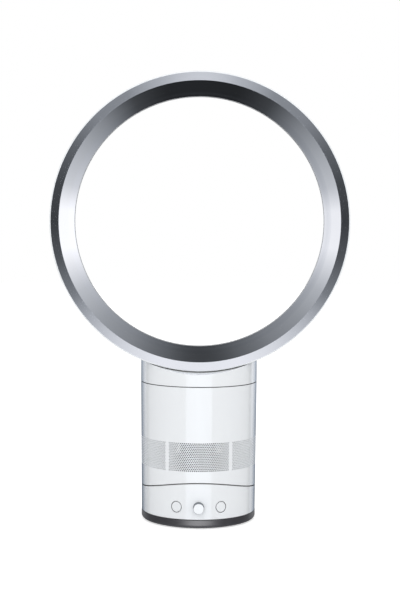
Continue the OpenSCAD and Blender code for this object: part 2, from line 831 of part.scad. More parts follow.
module shoe_screws() {
  color([0.6, 0.6, 0.62]) for (a = [45:90:315]) rotate([0, 0, a])
    translate([shoe_boss_at, 0, shoe_rim_z - 2 * screw_head_h + running]) {
      cylinder(r = screw_head_r, h = screw_head_h - 2 * running);
      cylinder(r = screw_r - running, h = 2 * screw_head_h + shoe_boss_h / 2);
    }
}

module foam_disc() {
  color([0.35, 0.35, 0.37]) at(shoe_rim_z - foam_lift) cylinder(r = foam_r, h = foam_h);
}

// Housing outline: flange, bell mouth, cone over the blade tips and the passage wall above
module impeller_housing() {
  color([0.7, 0.71, 0.73]) rotate_extrude() polygon([
    [bell_lip_r, flange_z - bell_lip_drop],
    [throat_r + housing_t / 2, throat_z - housing_t],
    [throat_r, throat_z],
    [passage_r, cone_top],
    [passage_r, bayonet_z + bayonet_floor],
    [passage_r + housing_t, bayonet_z + bayonet_floor],
    [passage_r + housing_t, flange_z + housing_flange_h],
    [housing_flange_r, flange_z + housing_flange_h],
    [housing_flange_r, flange_z],
    [passage_r, flange_z],
    [passage_r - housing_t, flange_z + housing_t],
    [throat_r + 3 * housing_t, throat_z + housing_t],
    [throat_r + 2 * housing_t, throat_z - housing_t / 2],
    [bell_lip_r + housing_t / 2, flange_z - bell_lip_drop + housing_t]
  ]);
}

module lip_seal() {
  color([0.15, 0.15, 0.16]) at(flange_z + (housing_flange_h - lip_seal_h) / 2)
    ring(body_radius(flange_z) - wall - running, housing_flange_r + running, lip_seal_h);
}

module rubber_mounts() {
  color([0.15, 0.15, 0.16]) for (a = [90:120:330]) rotate([0, 0, a])
    translate([support_in + mount_r, 0, support_z]) cylinder(r = mount_r, h = mount_h);
}

module foam_ring() {
  color([0.35, 0.35, 0.37]) at(flange_z + housing_flange_h) ring(housing_flange_r, foam_ring_in, foam_ring_h);
}

module diffuser_vanes() {
  color([0.7, 0.71, 0.73]) at(bucket_z + vane_lift) {
    ring(vane_in + vane_sleeve, vane_in, vane_h);
    intersection() {
      ring(passage_r - fit, vane_in + vane_sleeve / 2, vane_h);
      union() for (i = [0:vanes - 1]) rotate([0, 0, 360 * i / vanes]) translate([vane_in, 0, vane_h / 2])
        rotate([vane_lean, 0, 0]) translate([0, -vane_t / 2, -vane_h])
          cube([passage_r - vane_in, vane_t, 2 * vane_h]);
    }
  }
}

module bucket_screw_places() for (a = [60:120:300]) rotate([0, 0, a]) translate([bucket_screw_at, 0, 0])
  children();

module bucket_lower() {
  color([0.85, 0.85, 0.87]) difference() {
    union() {
      at(bucket_z) ring(bucket_r, bucket_r - bucket_wall, bucket_split - bucket_z);
      at(bucket_z) cylinder(r = bucket_r, h = bucket_floor);
      at(bucket_z) cylinder(r = bearing_r + bucket_wall, h = bucket_floor + bearing_h);
      bucket_screw_places() at(bucket_z) cylinder(r = 2 * screw_r, h = bucket_split - bucket_z);
    }
    at(bucket_z - cut) cylinder(r = motor_shaft_r + fit, h = bucket_split);
    at(bucket_z + bucket_floor) cylinder(r = bearing_r + running, h = bucket_split);
    bucket_screw_places() at(bucket_split - screw_bite) cylinder(r = screw_r, h = screw_bite + cut);
  }
}

module bucket_upper() {
  color([0.85, 0.85, 0.87]) difference() {
    union() {
      rotate_extrude() polygon([
        [bucket_r - bucket_wall, bucket_split], [bucket_r, bucket_split], [bucket_r, bucket_rim],
        [bucket_top_r, bucket_top_z], [0, bucket_top_z], [0, bucket_top_z - bucket_wall],
        [bucket_top_r - bucket_wall / 2, bucket_top_z - bucket_wall],
          [bucket_r - bucket_wall, bucket_rim - bucket_wall / 2]
      ]);
      at(top_bearing_z) ring(bearing_r + bucket_wall, bearing_r + running,
        bucket_top_z - bucket_wall / 2 - top_bearing_z);
      bucket_screw_places() at(bucket_split) {
        cylinder(r = 2 * screw_r, h = bucket_floor);
        translate([0, -screw_r, 0]) cube([bucket_r - bucket_wall / 2 - bucket_screw_at, 2 * screw_r,
          bucket_floor]);
      }
    }
    bucket_screw_places() at(bucket_split - cut) cylinder(r = screw_r + running, h = bucket_floor + 2 * cut);
  }
}

module bucket_screws() {
  color([0.6, 0.6, 0.62]) bucket_screw_places() {
    at(bucket_split + bucket_floor + running) cylinder(r = screw_head_r - running, h = screw_head_h);
    at(bucket_split - screw_bite + fit) cylinder(r = screw_r - running,
      h = screw_bite + bucket_floor + cut - fit);
  }
}

// Laminated ring with windings, held by legs from the bucket's floor
module motor_stator() {
  color([0.72, 0.42, 0.2]) {
    at(stator_z) ring(stator_r, stator_in, stator_h);
    for (i = [0:stator_legs - 1]) rotate([0, 0, 360 * i / stator_legs])
      translate([(stator_r + stator_in) / 2, 0, bucket_z + bucket_floor])
      cylinder(r = screw_head_r, h = stator_z - bucket_z - bucket_floor + cut);
  }
}

module motor_bearings() {
  color([0.65, 0.65, 0.68]) for (z = [bucket_z + bucket_floor, top_bearing_z]) at(z)
    ring(bearing_r, motor_shaft_r + running, bearing_h);
}

// Inside radius of the bucket's dome
function bucket_inside(z) = let (low = bucket_rim - bucket_wall / 2, high = bucket_top_z - bucket_wall)
  bucket_r - bucket_wall + (bucket_top_r - bucket_r + bucket_wall / 2) * (z - low) / (high - low);

module driver_board() {
  board_z = top_bearing_z + bearing_h + driver_lift;
  color([0.1, 0.35, 0.2]) at(board_z) ring(bucket_inside(board_z + driver_t) - fit,
    bearing_r + bucket_wall + fit, driver_t);
}

// Hub cone and curved blades, cut to the housing's cone with a running gap
module impeller() {
  color([0.2, 0.2, 0.22]) difference() {
    union() {
      rotate_extrude() polygon([
        [0, throat_z], [hub_nose_r, throat_z], [hub_base_r, cone_top - hub_disc_h], [hub_base_r, cone_top],
        [hub_base_r - hub_wall, cone_top], [hub_nose_r - hub_wall / 2, throat_z + 2 * hub_wall],
          [0, throat_z + 2 * hub_wall]
      ]);
      intersection() {
        union() for (i = [0:blades - 1]) rotate([0, 0, 360 * i / blades]) at(throat_z)
          linear_extrude(cone_h) blade_shape();
        rotate_extrude() polygon([
          [hub_nose_r - hub_wall / 2, throat_z], [throat_r - tip_gap, throat_z + housing_t / 2],
          [passage_r - 2 * tip_gap, cone_top - hub_disc_h / 2], [passage_r - 2 * tip_gap, cone_top],
          [hub_base_r - hub_wall / 2, cone_top], [hub_base_r - hub_wall / 2, cone_top - hub_disc_h]
        ]);
      }
      at(throat_z) cylinder(r = 2 * motor_shaft_r, h = cone_h);
    }
    at(throat_z - cut) cylinder(r = motor_shaft_r, h = cone_h + 2 * cut);
  }
}

module blade_shape() {
  inner = hub_nose_r / 2;
  outer = passage_r;
  line = [for (i = [0:blade_steps]) let (s = i / blade_steps, r = inner + (outer - inner) * s,
    a = blade_sweep * s * s) r * [cos(a), sin(a)]];
  side = [for (i = [0:blade_steps]) let (s = i / blade_steps,
    a = blade_sweep * s * (2 + s)) blade_t / 2 * [-sin(a), cos(a)]];
  polygon(concat([for (i = [0:blade_steps]) line[i] + side[i]],
    [for (i = [blade_steps:-1:0]) line[i] - side[i]]));
}

module motor_shaft() {
  color([0.75, 0.75, 0.77]) at(shaft_low) cylinder(r = motor_shaft_r,
    h = top_bearing_z + bearing_h - shaft_low);
}

module rotor_magnet() {
  color([0.25, 0.25, 0.28]) at(stator_z) ring(magnet_r, motor_shaft_r, stator_h);
}

module impeller_nut() {
  color([0.8, 0.7, 0.35]) at(throat_z - nut_h) difference() {
    cylinder(r = nut_r, h = nut_h, $fn = 6);
    at(-cut) cylinder(r = motor_shaft_r, h = nut_h + 2 * cut);
  }
}

// Ring in the top of the motor casing, with a flange that the neck's lugs lock under
module bayonet_ring() {
  flange_low = neck_z + seam / 2 - collar_drop + lug_lift + lug_h + fit;
  color([0.78, 0.79, 0.81]) difference() {
    union() {
      at(bayonet_z) ring(bayonet_r, passage_r + housing_t + fit, bayonet_floor);
      at(bayonet_z) ring(bayonet_r, bayonet_r - bayonet_wall, bayonet_drop - bayonet_top);
      at(flange_low) ring(bayonet_r, collar_r + 2 * fit, bayonet_flange);
    }
    for (i = [0:lug_count - 1]) rotate([0, 0, 90 + twist_angle + 360 * i / lug_count]) at(flange_low - cut)
      lug_sector(collar_r + lug_reach + 2 * fit, bayonet_flange + 2 * cut, lug_angle + lug_spare);
  }
}

// Pie slice about +X, to cut or keep one lug
module lug_sector(radius, height, angle) {
  linear_extrude(height) polygon([[0, 0], radius / cos(angle / 2) * [cos(angle / 2), -sin(angle / 2)],
    radius / cos(angle / 2) * [cos(angle / 2), sin(angle / 2)]]);
}

module nozzle_seal() {
  color([0.15, 0.15, 0.16]) at(bayonet_z + bayonet_floor)
    ring(collar_r, collar_r - collar_wall, neck_z + seam / 2 - collar_drop - fit - bayonet_z - bayonet_floor);
}

// White outer wall: rounded rim, gentle taper, full round at the back and the lip of the mouth, with its duct
module loop_outer_shell() {
  inner_back = (rim_r - loop_taper + hole_r + mouth_lip) / 2;
  back_half = (rim_r - loop_taper - hole_r - mouth_lip) / 2;
  duct_low = loop_z - loop_r - saddle_gap - saddle_wall - duct_drop;
  color([0.93, 0.94, 0.96]) difference() {
    union() {
      about_loop() polygon(concat(
        arc(rim_r, front_y + loop_wall, loop_wall, loop_wall, -90, 0, 6),
        [[loop_r, front_y + taper_len]],
        arc(hole_r + rear_r, rear_y, rear_r, rear_r, 0, 180, 18),
        [[hole_r, rear_y - mouth_lip_len], [hole_r + mouth_lip, rear_y - mouth_lip_len]],
        arc(inner_back, rear_y, back_half, rear_r - loop_wall, 180, 0, 18),
        [[rim_r, front_y + taper_len]]
      ));
      difference() {
        translate([0, duct_y, duct_low]) cylinder(r = duct_r + duct_wall,
          h = loop_z - rim_r - duct_low + duct_r);
        loop_bar(rim_r);
      }
    }
    translate([0, duct_y, duct_low - cut]) cylinder(r = duct_r, h = loop_z - lip_r - duct_low + cut);
  }
}

// Silver wall inside it: bevelled lip, band, and a surface that curves into the mouth
module loop_inner_shell() {
  bevel_back = front_y + sqrt(2) * inner_wall;
  handle = curve_len * [band_slope, 1] * band_pull_share;
  color([0.7, 0.71, 0.74]) {
    about_loop() polygon(concat(
      [[rim_r, front_y], [lip_r, lip_y]],
      [for (i = [0:curve_steps]) bezier(band_end, band_end + handle,
        throat_end - [0, curve_len * throat_pull_share], throat_end, i / curve_steps)],
      arc(nozzle_throat_r + nose_r, rear_y, nose_r, nose_r, nose_from, 0, 9),
      [[band_end[0] + inner_wall, band_end[1]],
       [lip_r + inner_wall, bevel_back + rim_r - lip_r - inner_wall],
       [rim_r - inner_wall, bevel_back + inner_wall],
       [rim_r - inner_wall, front_y + taper_len - inner_wall / 2],
       [rim_r, front_y + taper_len - inner_wall / 2]]
    ));
    for (i = [0:spacers - 1]) at(loop_z) rotate([0, 360 * (i + 1 / 2) / spacers, 0])
      translate([-spacer_w / 2, rear_y - mouth_lip_len, hole_r + mouth_lip + running])
        cube([spacer_w, mouth_lip_len - cut, mouth + nose_r / 2]);
  }
}

// White collar with a saddle top; its lower collar and lugs turn into the bayonet ring
module neck() {
  low = neck_z + seam / 2;
  top = loop_z - loop_r + body_r;
  color([0.93, 0.94, 0.96]) difference() {
    union() {
      difference() {
        at(low) cylinder(r = body_r, h = top - low);
        difference() {
          at(low + neck_floor) cylinder(r = body_r - wall, h = top - low);
          loop_bar(loop_r + saddle_gap + saddle_wall);
        }
        at(low - cut) cylinder(r = collar_r - collar_wall, h = neck_floor + 2 * cut);
      }
      at(low - collar_drop) ring(collar_r, collar_r - collar_wall, collar_drop + neck_floor);
      for (i = [0:lug_count - 1]) rotate([0, 0, 90 + 360 * i / lug_count]) at(low - collar_drop + lug_lift)
        intersection() {
        ring(collar_r + lug_reach, collar_r - collar_wall / 2, lug_h);
        lug_sector(collar_r + lug_reach, lug_h, lug_angle);
      }
    }
    loop_bar(loop_r + saddle_gap);
    translate([0, duct_y, low + neck_floor]) cylinder(r = duct_r + duct_wall + fit, h = top);
  }
}

base_plate();
rubber_foot();
cable_gland();
swing_gear();
gear_screws();
slip_race();
retaining_ring();
turntable();
lower_casing();
casing_screws();
tilt_cradle();
cradle_screws();
glide_pads();
swing_motor();
swing_motor_screws();
swing_pinion();
control_board();
switch_holder();
push_switches();
dial_encoder();
speed_dial();
dial_shaft();
power_button();
power_spring();
swing_button();
swing_spring();
motor_casing();
tilt_shoe();
tilt_rails();
rail_screws();
shoe_screws();
foam_disc();
impeller_housing();
lip_seal();
rubber_mounts();
foam_ring();
diffuser_vanes();
bucket_lower();
bucket_upper();
bucket_screws();
motor_stator();
motor_bearings();
driver_board();
bayonet_ring();
nozzle_seal();
impeller();
motor_shaft();
rotor_magnet();
impeller_nut();
loop_outer_shell();
loop_inner_shell();
neck();
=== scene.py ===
# %% [markdown]
# # A bladeless desk fan
# The fan has no open blades. An impeller in the round body blows air up through the neck into a
# hollow loop, and the air leaves by a narrow mouth round the loop's inner side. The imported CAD
# model gives every size and place. This lesson dresses it: the outer skins are modelled again with
# smooth, rounded surfaces, and every piece gets its finish.

# %% Load the frame
import json
from math import cos, hypot, pi, radians, sin, sqrt, tau

import bmesh
import bpy
from mathutils import Matrix, Vector
from mathutils.geometry import interpolate_bezier


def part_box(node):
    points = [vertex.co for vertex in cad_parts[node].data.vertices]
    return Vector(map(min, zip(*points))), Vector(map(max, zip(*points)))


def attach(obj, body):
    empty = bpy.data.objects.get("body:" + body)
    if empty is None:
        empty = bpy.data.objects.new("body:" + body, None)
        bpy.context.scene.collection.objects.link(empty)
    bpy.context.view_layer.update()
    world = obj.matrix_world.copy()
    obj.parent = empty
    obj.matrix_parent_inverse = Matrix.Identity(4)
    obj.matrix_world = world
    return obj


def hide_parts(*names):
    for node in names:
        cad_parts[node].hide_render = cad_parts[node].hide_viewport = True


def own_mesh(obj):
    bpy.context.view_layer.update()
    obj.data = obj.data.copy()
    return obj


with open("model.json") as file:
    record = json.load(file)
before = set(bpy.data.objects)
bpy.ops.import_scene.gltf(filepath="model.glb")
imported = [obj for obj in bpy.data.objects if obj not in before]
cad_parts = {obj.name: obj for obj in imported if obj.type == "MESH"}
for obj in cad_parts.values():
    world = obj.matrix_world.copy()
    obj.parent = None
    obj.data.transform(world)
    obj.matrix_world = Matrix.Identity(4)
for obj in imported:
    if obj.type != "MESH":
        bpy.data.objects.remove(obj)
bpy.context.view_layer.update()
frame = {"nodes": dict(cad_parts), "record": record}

# %% [markdown]
# ## Units
# The drawings of such an object are in millimetres, and Blender's scene is in metres. Every piece
# below is modelled in millimetres and made smaller once, when it is finished. The main places are
# read from the CAD boxes, so a skin always lands on the solid that it covers.

# %% Main sizes, in millimetres
MM = 0.001


def size_of(node):
    """Lowest and highest corner of a CAD node in millimetres."""
    low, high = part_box(node)
    return low / MM, high / MM


inner_low, inner_high = size_of("loop_inner_shell")
outer_low, outer_high = size_of("loop_outer_shell")
neck_low, neck_high = size_of("neck")
casing_high = size_of("motor_casing")[1]
loop_z = (inner_low.z + inner_high.z) / 2
loop_r = min(-outer_low.x, outer_high.x)
front_y = inner_low.y
rear_y = outer_high.y
body_r = neck_high.x
body_top = casing_high.z
print(f"loop axis {loop_z:.1f} high, radius {loop_r:.1f}")
print(f"body radius {body_r:.1f}, body top {body_top:.1f}")

# %% [markdown]
# ## Camera
# The photograph looks straight at the loop's middle from a good distance: the loop is a true
# circle, and the body below it is seen a little from above. A level camera at the loop's height
# gives that, and a vertical shift moves the frame down to the body, as on a view camera. Turning
# the camera down instead would make the loop an ellipse. The lens stands a finger's width left of
# the middle and turns back towards the rim, because the throat at the back sits a little left of
# the rim in the photograph.

# %% Place the camera
CAMERA_DISTANCE = 1.62
CAMERA_SIDE = -0.012
FOCAL_LENGTH = 80
SENSOR_WIDTH = 36
FRAME_SHIFT = (0.0, -0.1313)
CAMERA_ROLL = -0.3

scene = bpy.context.scene
camera_data = bpy.data.cameras.new("camera")
camera_data.lens = FOCAL_LENGTH
camera_data.sensor_width = SENSOR_WIDTH
camera_data.shift_x, camera_data.shift_y = FRAME_SHIFT
camera = bpy.data.objects.new("camera", camera_data)
camera.location = (CAMERA_SIDE, -CAMERA_DISTANCE, loop_z * MM)
camera_turn = CAMERA_SIDE / (CAMERA_DISTANCE + front_y * MM)
camera.rotation_euler = (radians(90), radians(CAMERA_ROLL), camera_turn)
scene.collection.objects.link(camera)
scene.camera = camera
scene.view_settings.view_transform = "Standard"
print(f"camera {CAMERA_DISTANCE} m in front, {camera.location.z:.3f} m high")

# %% [markdown]
# ## Shader maths
# A finish is a small calculation that runs at every point of a surface. Building it node by node
# hides the sum, so one class wraps an output socket and adds a Math node for each operator. A line
# such as `1 - mask * 0.3` then reads as the sum that it is.


# %% A socket that can be reckoned with
class Wire:
    """An output socket: sums of wires add Math nodes, and node() adds any other kind."""

    def __init__(self, tree, socket=None):
        self.tree = tree
        self.socket = socket

    def node(self, kind, inputs=None, out=0, **settings):
        """Adds a node with its settings and sockets, and returns the output or outputs named."""
        made = self.tree.nodes.new(kind)
        for key, value in settings.items():
            if key == "stops":
                set_stops(made.color_ramp, value)
            else:
                setattr(made, key, value)
        for key, value in (inputs or {}).items():
            if isinstance(value, Wire):
                self.tree.links.new(value.socket, made.inputs[key])
            else:
                made.inputs[key].default_value = value
        if isinstance(out, tuple):
            return [Wire(self.tree, made.outputs[name]) for name in out]
        return Wire(self.tree, made.outputs[out] if len(made.outputs) else None)

    def math(self, operation, *values, **settings):
        return self.node("ShaderNodeMath", dict(enumerate(values)), operation=operation, **settings)

    def __add__(self, other):
        return self.math("ADD", self, other)

    __radd__ = __add__

    def __sub__(self, other):
        return self.math("SUBTRACT", self, other)

    def __rsub__(self, other):
        return self.math("SUBTRACT", other, self)

    def __mul__(self, other):
        return self.math("MULTIPLY", self, other)

    __rmul__ = __mul__

    def __truediv__(self, other):
        return self.math("DIVIDE", self, other)

    def __lt__(self, other):
        return self.math("LESS_THAN", self, other)

    def __gt__(self, other):
        return self.math("GREATER_THAN", self, other)

    def __abs__(self):
        return self.math("ABSOLUTE", self)

    def smooth(self, low, high):
        """0 below low, 1 above high, and a soft step between them."""
        sockets = {"Value": self, "From Min": low, "From Max": high}
        settings = {"data_type": "FLOAT", "interpolation_type": "SMOOTHSTEP"}
        return self.node("ShaderNodeMapRange", sockets, **settings)

    def ramp(self, stops):
        """Grey value of a colour ramp, from (place, value) stops."""
        greys = [(place, (value, value, value, 1)) for place, value in stops]
        return self.node("ShaderNodeValToRGB", {"Fac": self}, stops=greys)

    def bump(self, height, strength, distance):
        """Normal from a height, whose full depth is distance millimetres."""
        sockets = {"Height": height, "Strength": strength, "Distance": distance * MM}
        return self.node("ShaderNodeBump", sockets, out="Normal")

    def blend(self, first, second):
        """Colour between first and second, by this wire."""
        return self.node("ShaderNodeMix", {0: self, 6: first, 7: second}, out=2, data_type="RGBA")


def set_stops(ramp, stops):
    """Gives a colour ramp its stops, in rising order."""
    ramp.elements.remove(ramp.elements[1])
    ramp.elements[0].position, ramp.elements[0].color = stops[0]
    for place, colour in stops[1:]:
        ramp.elements.new(place).color = colour


print("shader maths ready")

# %% [markdown]
# ## Studio
# A white fan before a white backdrop is drawn by what it reflects. A wide light box stands in
# front, dark flags stand at both sides and draw the dark edges, and the backdrop glows behind the
# fan at loop height. Real cards would block the view from the side, so the world itself carries
# the pattern by direction, and only for glossy rays. The loop's bevel reflects the room across the
# axis and its band reflects the backdrop, so each has a ramp whose places go round the axis as on
# a clock face. The camera sees plain white, and the soft light on matt surfaces is an even sky
# that is a little brighter in front.

# %% The world's pattern
world = bpy.data.worlds.new("studio")
scene.world = world
world.use_nodes = True
world.node_tree.nodes.clear()
studio = Wire(world.node_tree)
direction = studio.node("ShaderNodeTexCoord", out="Generated")
across, along, up = studio.node("ShaderNodeSeparateXYZ", {"Vector": direction}, out=("X", "Y", "Z"))
clock = up / studio.math("SQRT", across * across + up * up)

# What each direction shows, from straight down (-1) through level (0) to straight up (1)
ROOM = [
    (-1, 0.7), (-0.966, 0.53), (-0.866, 0.31), (-0.707, 0.28), (-0.5, 0.15), (-0.26, 0.075),
    (0, 0.055), (0.26, 0.105), (0.5, 0.24), (0.707, 0.57), (0.866, 0.81), (0.966, 0.96),
    (1, 0.94),
]
BACKDROP = [
    (-1, 0.022), (-0.966, 0.022), (-0.866, 0.06), (-0.707, 0.25), (-0.5, 0.44), (-0.26, 0.62),
    (-0.08, 0.98), (0.2, 1), (0.5, 0.52), (0.707, 0.34), (0.866, 0.24), (0.966, 0.125),
    (1, 0.06),
]
BACKDROP_LIGHT = 1.06
BACKDROP_SLOPE = 0.2


def by_clock(stops):
    """Grey of a ramp whose places run from -1 to 1."""
    return (clock * 0.5 + 0.5).ramp([(rise * 0.5 + 0.5, value) for rise, value in stops])


room = by_clock(ROOM)
backdrop = by_clock(BACKDROP) * (1 + across * BACKDROP_SLOPE) * BACKDROP_LIGHT
mirrored = room + (backdrop - room) * along.smooth(0.5, 0.68)

# Light box in front, with crisp sides and a soft top
BOX_SPREAD = 0.477
BOX_LIGHT = 2.5
box = (abs(across) / abs(along) < BOX_SPREAD) * (along < 0)
box = box * up.smooth(-0.6, -0.4) * (1 - up.smooth(0.05, 0.5))
mirrored = mirrored + box * BOX_LIGHT
tint = mirrored.blend((0.86, 0.92, 1.0, 1), (0.98, 0.98, 1.0, 1))

# Even sky for matt surfaces, and plain white for the camera
SKY = 0.77
SKY_SLOPE = 0.3
RAYS = ("Is Camera Ray", "Is Glossy Ray")
sky = SKY - along * SKY_SLOPE
seen_by_camera, seen_in_gloss = studio.node("ShaderNodeLightPath", out=RAYS)
strength = seen_in_gloss * (mirrored - sky) + sky
strength = strength + seen_by_camera * (1 - strength)
colour = seen_in_gloss.blend((1, 1, 1, 1), tint)
background = studio.node("ShaderNodeBackground", {"Color": colour, "Strength": strength})
studio.node("ShaderNodeOutputWorld", {"Surface": background})
print("world pattern ready")

# %% [markdown]
# ## Floor and lamps
# The fan stands on a plain pale floor. Its shadow stays, and everywhere else the floor adds its
# own light for the camera until it is as white as the backdrop. One large lamp above the camera
# gives the shadow its direction, and a weaker one overhead lights the tops. Neither shows in
# gloss, because the world draws all reflections.

# %% Floor
FLOOR_RADIUS = 6.0
floor_mesh = bpy.data.meshes.new("floor")
floor_bm = bmesh.new()
bmesh.ops.create_circle(floor_bm, cap_ends=True, segments=64, radius=FLOOR_RADIUS)
floor_bm.to_mesh(floor_mesh)
floor_bm.free()
floor = bpy.data.objects.new("floor", floor_mesh)
scene.collection.objects.link(floor)

floor_paint = bpy.data.materials.new("floor_paint")
floor_paint.use_nodes = True
floor_paint.node_tree.nodes.clear()
paint = Wire(floor_paint.node_tree)
matt = paint.node("ShaderNodeBsdfDiffuse", {"Color": (0.9, 0.9, 0.9, 1)})
camera_ray, gloss_ray = paint.node("ShaderNodeLightPath", out=RAYS)
FLOOR_GLOW = 0.55
own_light = camera_ray * FLOOR_GLOW
glow = paint.node("ShaderNodeEmission", {"Color": (1, 1, 1, 1), "Strength": own_light})
lit = paint.node("ShaderNodeAddShader", {0: matt, 1: glow})
clear = paint.node("ShaderNodeBsdfTransparent")
floor_look = paint.node("ShaderNodeMixShader", {0: gloss_ray, 1: lit, 2: clear})
paint.node("ShaderNodeOutputMaterial", {"Surface": floor_look})
floor_mesh.materials.append(floor_paint)
print("floor radius", FLOOR_RADIUS)


# %% Lamps
def lamp(name, place, target, width, power):
    """Square area lamp that looks at a target and doesn't show in gloss."""
    data = bpy.data.lights.new(name, "AREA")
    data.size = width
    data.energy = power
    obj = bpy.data.objects.new(name, data)
    obj.location = place
    obj.rotation_euler = (Vector(target) - Vector(place)).to_track_quat("-Z", "Y").to_euler()
    obj.visible_glossy = False
    scene.collection.objects.link(obj)


lamp("front_lamp", (0, -2.2, 1.5), (0, 0, 0.25), 1.8, 10)
lamp("top_lamp", (0, 0.3, 2.4), (0, 0, 0.2), 1.6, 6)

# %% [markdown]
# ## Finishes
# Moulded plastic is never one flat colour: the tool leaves a fine grain, the tone drifts a little
# over a wide face, and the gloss changes with the grain. Every finish below starts from the same
# recipe, broad and fine noise on Object coordinates that drive colour, roughness and a small bump,
# and adds what is special to it.


# %% A canvas and a basic recipe
def canvas(name):
    """New material with its wires and the object coordinates."""
    material = bpy.data.materials.new(name)
    material.use_nodes = True
    material.node_tree.nodes.clear()
    wires = Wire(material.node_tree)
    return material, wires, wires.node("ShaderNodeTexCoord", out="Object")


def scale_for(size):
    """Scale of a texture whose features are size millimetres across."""
    return 1 / (size * MM)


def noise(wires, place, grain, detail=2.0):
    """Noise from 0 to 1 whose features are about grain millimetres across."""
    sockets = {"Vector": place, "Scale": scale_for(grain), "Detail": detail}
    return wires.node("ShaderNodeTexNoise", sockets)


def finish_off(material, wires, sockets):
    """Principled surface from its sockets, plugged into the material's output."""
    surface = wires.node("ShaderNodeBsdfPrincipled", sockets)
    wires.node("ShaderNodeOutputMaterial", {"Surface": surface})
    return material


def grey(value, warm=0.0):
    """Near-neutral colour: a little blue below zero warmth, a little yellow above it."""
    return (value * (1 + warm), value, value * (1 - warm), 1)


def moulded(name, dark, light, rough, grain=0.35, drift=60, depth=0.004, spread=0.08, **more):
    """Moulded or cast surface between two close colours, its grain depth millimetres deep."""
    material, wires, place = canvas(name)
    fine = noise(wires, place, grain, 3.0)
    broad = noise(wires, place, drift)
    colour = (broad * 0.7 + fine * 0.3).blend(dark, light)
    roughness = rough + (fine - 0.5) * spread
    pitted = wires.bump(fine, 0.5, depth)
    sockets = {"Base Color": colour, "Roughness": roughness, "Normal": pitted, **more}
    return finish_off(material, wires, sockets)


print("recipe ready")

# %% [markdown]
# ## The outside's finishes
# The shells are glossy white ABS, whose surface is smooth but never flat: a faint waviness bends
# reflections. Lacquer turns into a mirror where it is seen along its face, and a studio's dark
# flags then draw the outline of a white part. The shader's own gloss is too weak for that, so
# Layer Weight raises Metallic at grazing angles. The band is plastic with a satin metal coat, so
# it is a metal to the shader, with fine flakes. The foot is dark grey with a soft sheen.

# %% White gloss, silver and dark grey
material, wires, place = canvas("gloss_white")
wave = noise(wires, place, 9.0, 1.0)
speck = noise(wires, place, 0.6, 3.0)
drift = noise(wires, place, 80.0)
shade = (drift * 0.6 + speck * 0.4).blend((0.855, 0.877, 0.9, 1), (0.875, 0.897, 0.92, 1))
grazing = wires.node("ShaderNodeLayerWeight", {"Blend": 0.5}, out="Facing")
normal = wires.node("ShaderNodeTexCoord", out="Normal")
upward = wires.node("ShaderNodeSeparateXYZ", {"Vector": normal}, out="Z")
mirror_edge = grazing.smooth(0.46, 0.86) * (1 - upward.smooth(0.3, 0.8))
ripple = wires.bump(wave, 0.35, 0.004)
gloss_white = finish_off(material, wires, {
    "Base Color": shade, "Roughness": 0.05 + speck * 0.04, "Metallic": mirror_edge,
    "Normal": ripple, "Specular Tint": (0.5, 0.56, 0.64, 1), "Coat Weight": 0.25,
    "Coat Roughness": 0.03,
})

material, wires, place = canvas("silver")
flake = wires.node("ShaderNodeTexVoronoi", {"Vector": place, "Scale": scale_for(0.35)},
                   out="Color")
flake_tone = wires.node("ShaderNodeSeparateXYZ", {"Vector": flake}, out="X")
cloud = noise(wires, place, 45.0)
metal = (flake_tone * 0.4 + cloud * 0.6).blend((0.82, 0.84, 0.885, 1), (0.87, 0.885, 0.93, 1))
grain_height = noise(wires, place, 0.5, 2.0)
silver = finish_off(material, wires, {
    "Base Color": metal, "Metallic": 1.0, "Roughness": 0.06 + flake_tone * 0.03,
    "Normal": wires.bump(grain_height, 0.1, 0.001),
})

dark_foot = moulded("dark_foot", (0.037, 0.036, 0.041, 1), (0.049, 0.047, 0.054, 1), 0.38,
                    grain=0.5, depth=0.006, **{"Specular IOR Level": 1.0, "IOR": 1.6})
dial_side = moulded("dial_side", (0.12, 0.14, 0.17, 1), (0.15, 0.17, 0.2, 1), 0.38, grain=0.25)
print("outside finishes:", gloss_white.name, silver.name, dark_foot.name, dial_side.name)

# %% [markdown]
# ## The inside's finishes
# Most of the inside only shows through the slots and seams or when the fan is taken apart. It
# still gets honest materials: engineering plastics, steel and brass hardware, open foam, a green
# board, and copper windings round the stator.

# %% Plastics and rubber
inside = {
    "grey_plastic": moulded("grey_plastic", grey(0.5), grey(0.56), 0.42, grain=0.5),
    "black_plastic": moulded("black_plastic", grey(0.022), grey(0.034), 0.4, grain=0.4),
    "acetal": moulded("acetal", (0.78, 0.77, 0.7, 1), (0.84, 0.83, 0.77, 1), 0.3, grain=0.8),
    "rubber": moulded("rubber", grey(0.018), grey(0.03), 0.72, grain=0.3, depth=0.02),
    "magnet": moulded("magnet", grey(0.05), grey(0.075), 0.5, grain=0.25, depth=0.01),
    "steel": moulded("steel", grey(0.5, -0.01), grey(0.6, -0.01), 0.28, grain=0.3, Metallic=1.0),
    "brass": moulded("brass", (0.62, 0.46, 0.2, 1), (0.7, 0.54, 0.26, 1), 0.3, grain=0.4,
                     Metallic=1.0),
}

# %% Foam, board and copper
material, wires, place = canvas("foam")
cells = wires.node("ShaderNodeTexVoronoi", {"Vector": place, "Scale": scale_for(1.4)},
                   out="Distance")
# The cells' pits make the bump, and they are darker too: painted shade
pit_and_shade = cells.smooth(0.1, 0.6)
foam_colour = pit_and_shade.blend(grey(0.03), grey(0.11))
inside["foam"] = finish_off(material, wires, {
    "Base Color": foam_colour, "Roughness": 0.95, "Normal": wires.bump(pit_and_shade, 0.9, 0.5),
})

material, wires, place = canvas("board")
tracks = wires.node("ShaderNodeTexBrick", {"Vector": place, "Scale": scale_for(6)}, out="Fac")
mask = noise(wires, place, 5.0)
board_colour = (tracks * 0.6 + mask * 0.4).blend((0.015, 0.09, 0.035, 1), (0.04, 0.2, 0.08, 1))
inside["board"] = finish_off(material, wires, {
    "Base Color": board_colour, "Roughness": 0.35, "Normal": wires.bump(tracks, 0.4, 0.05),
})

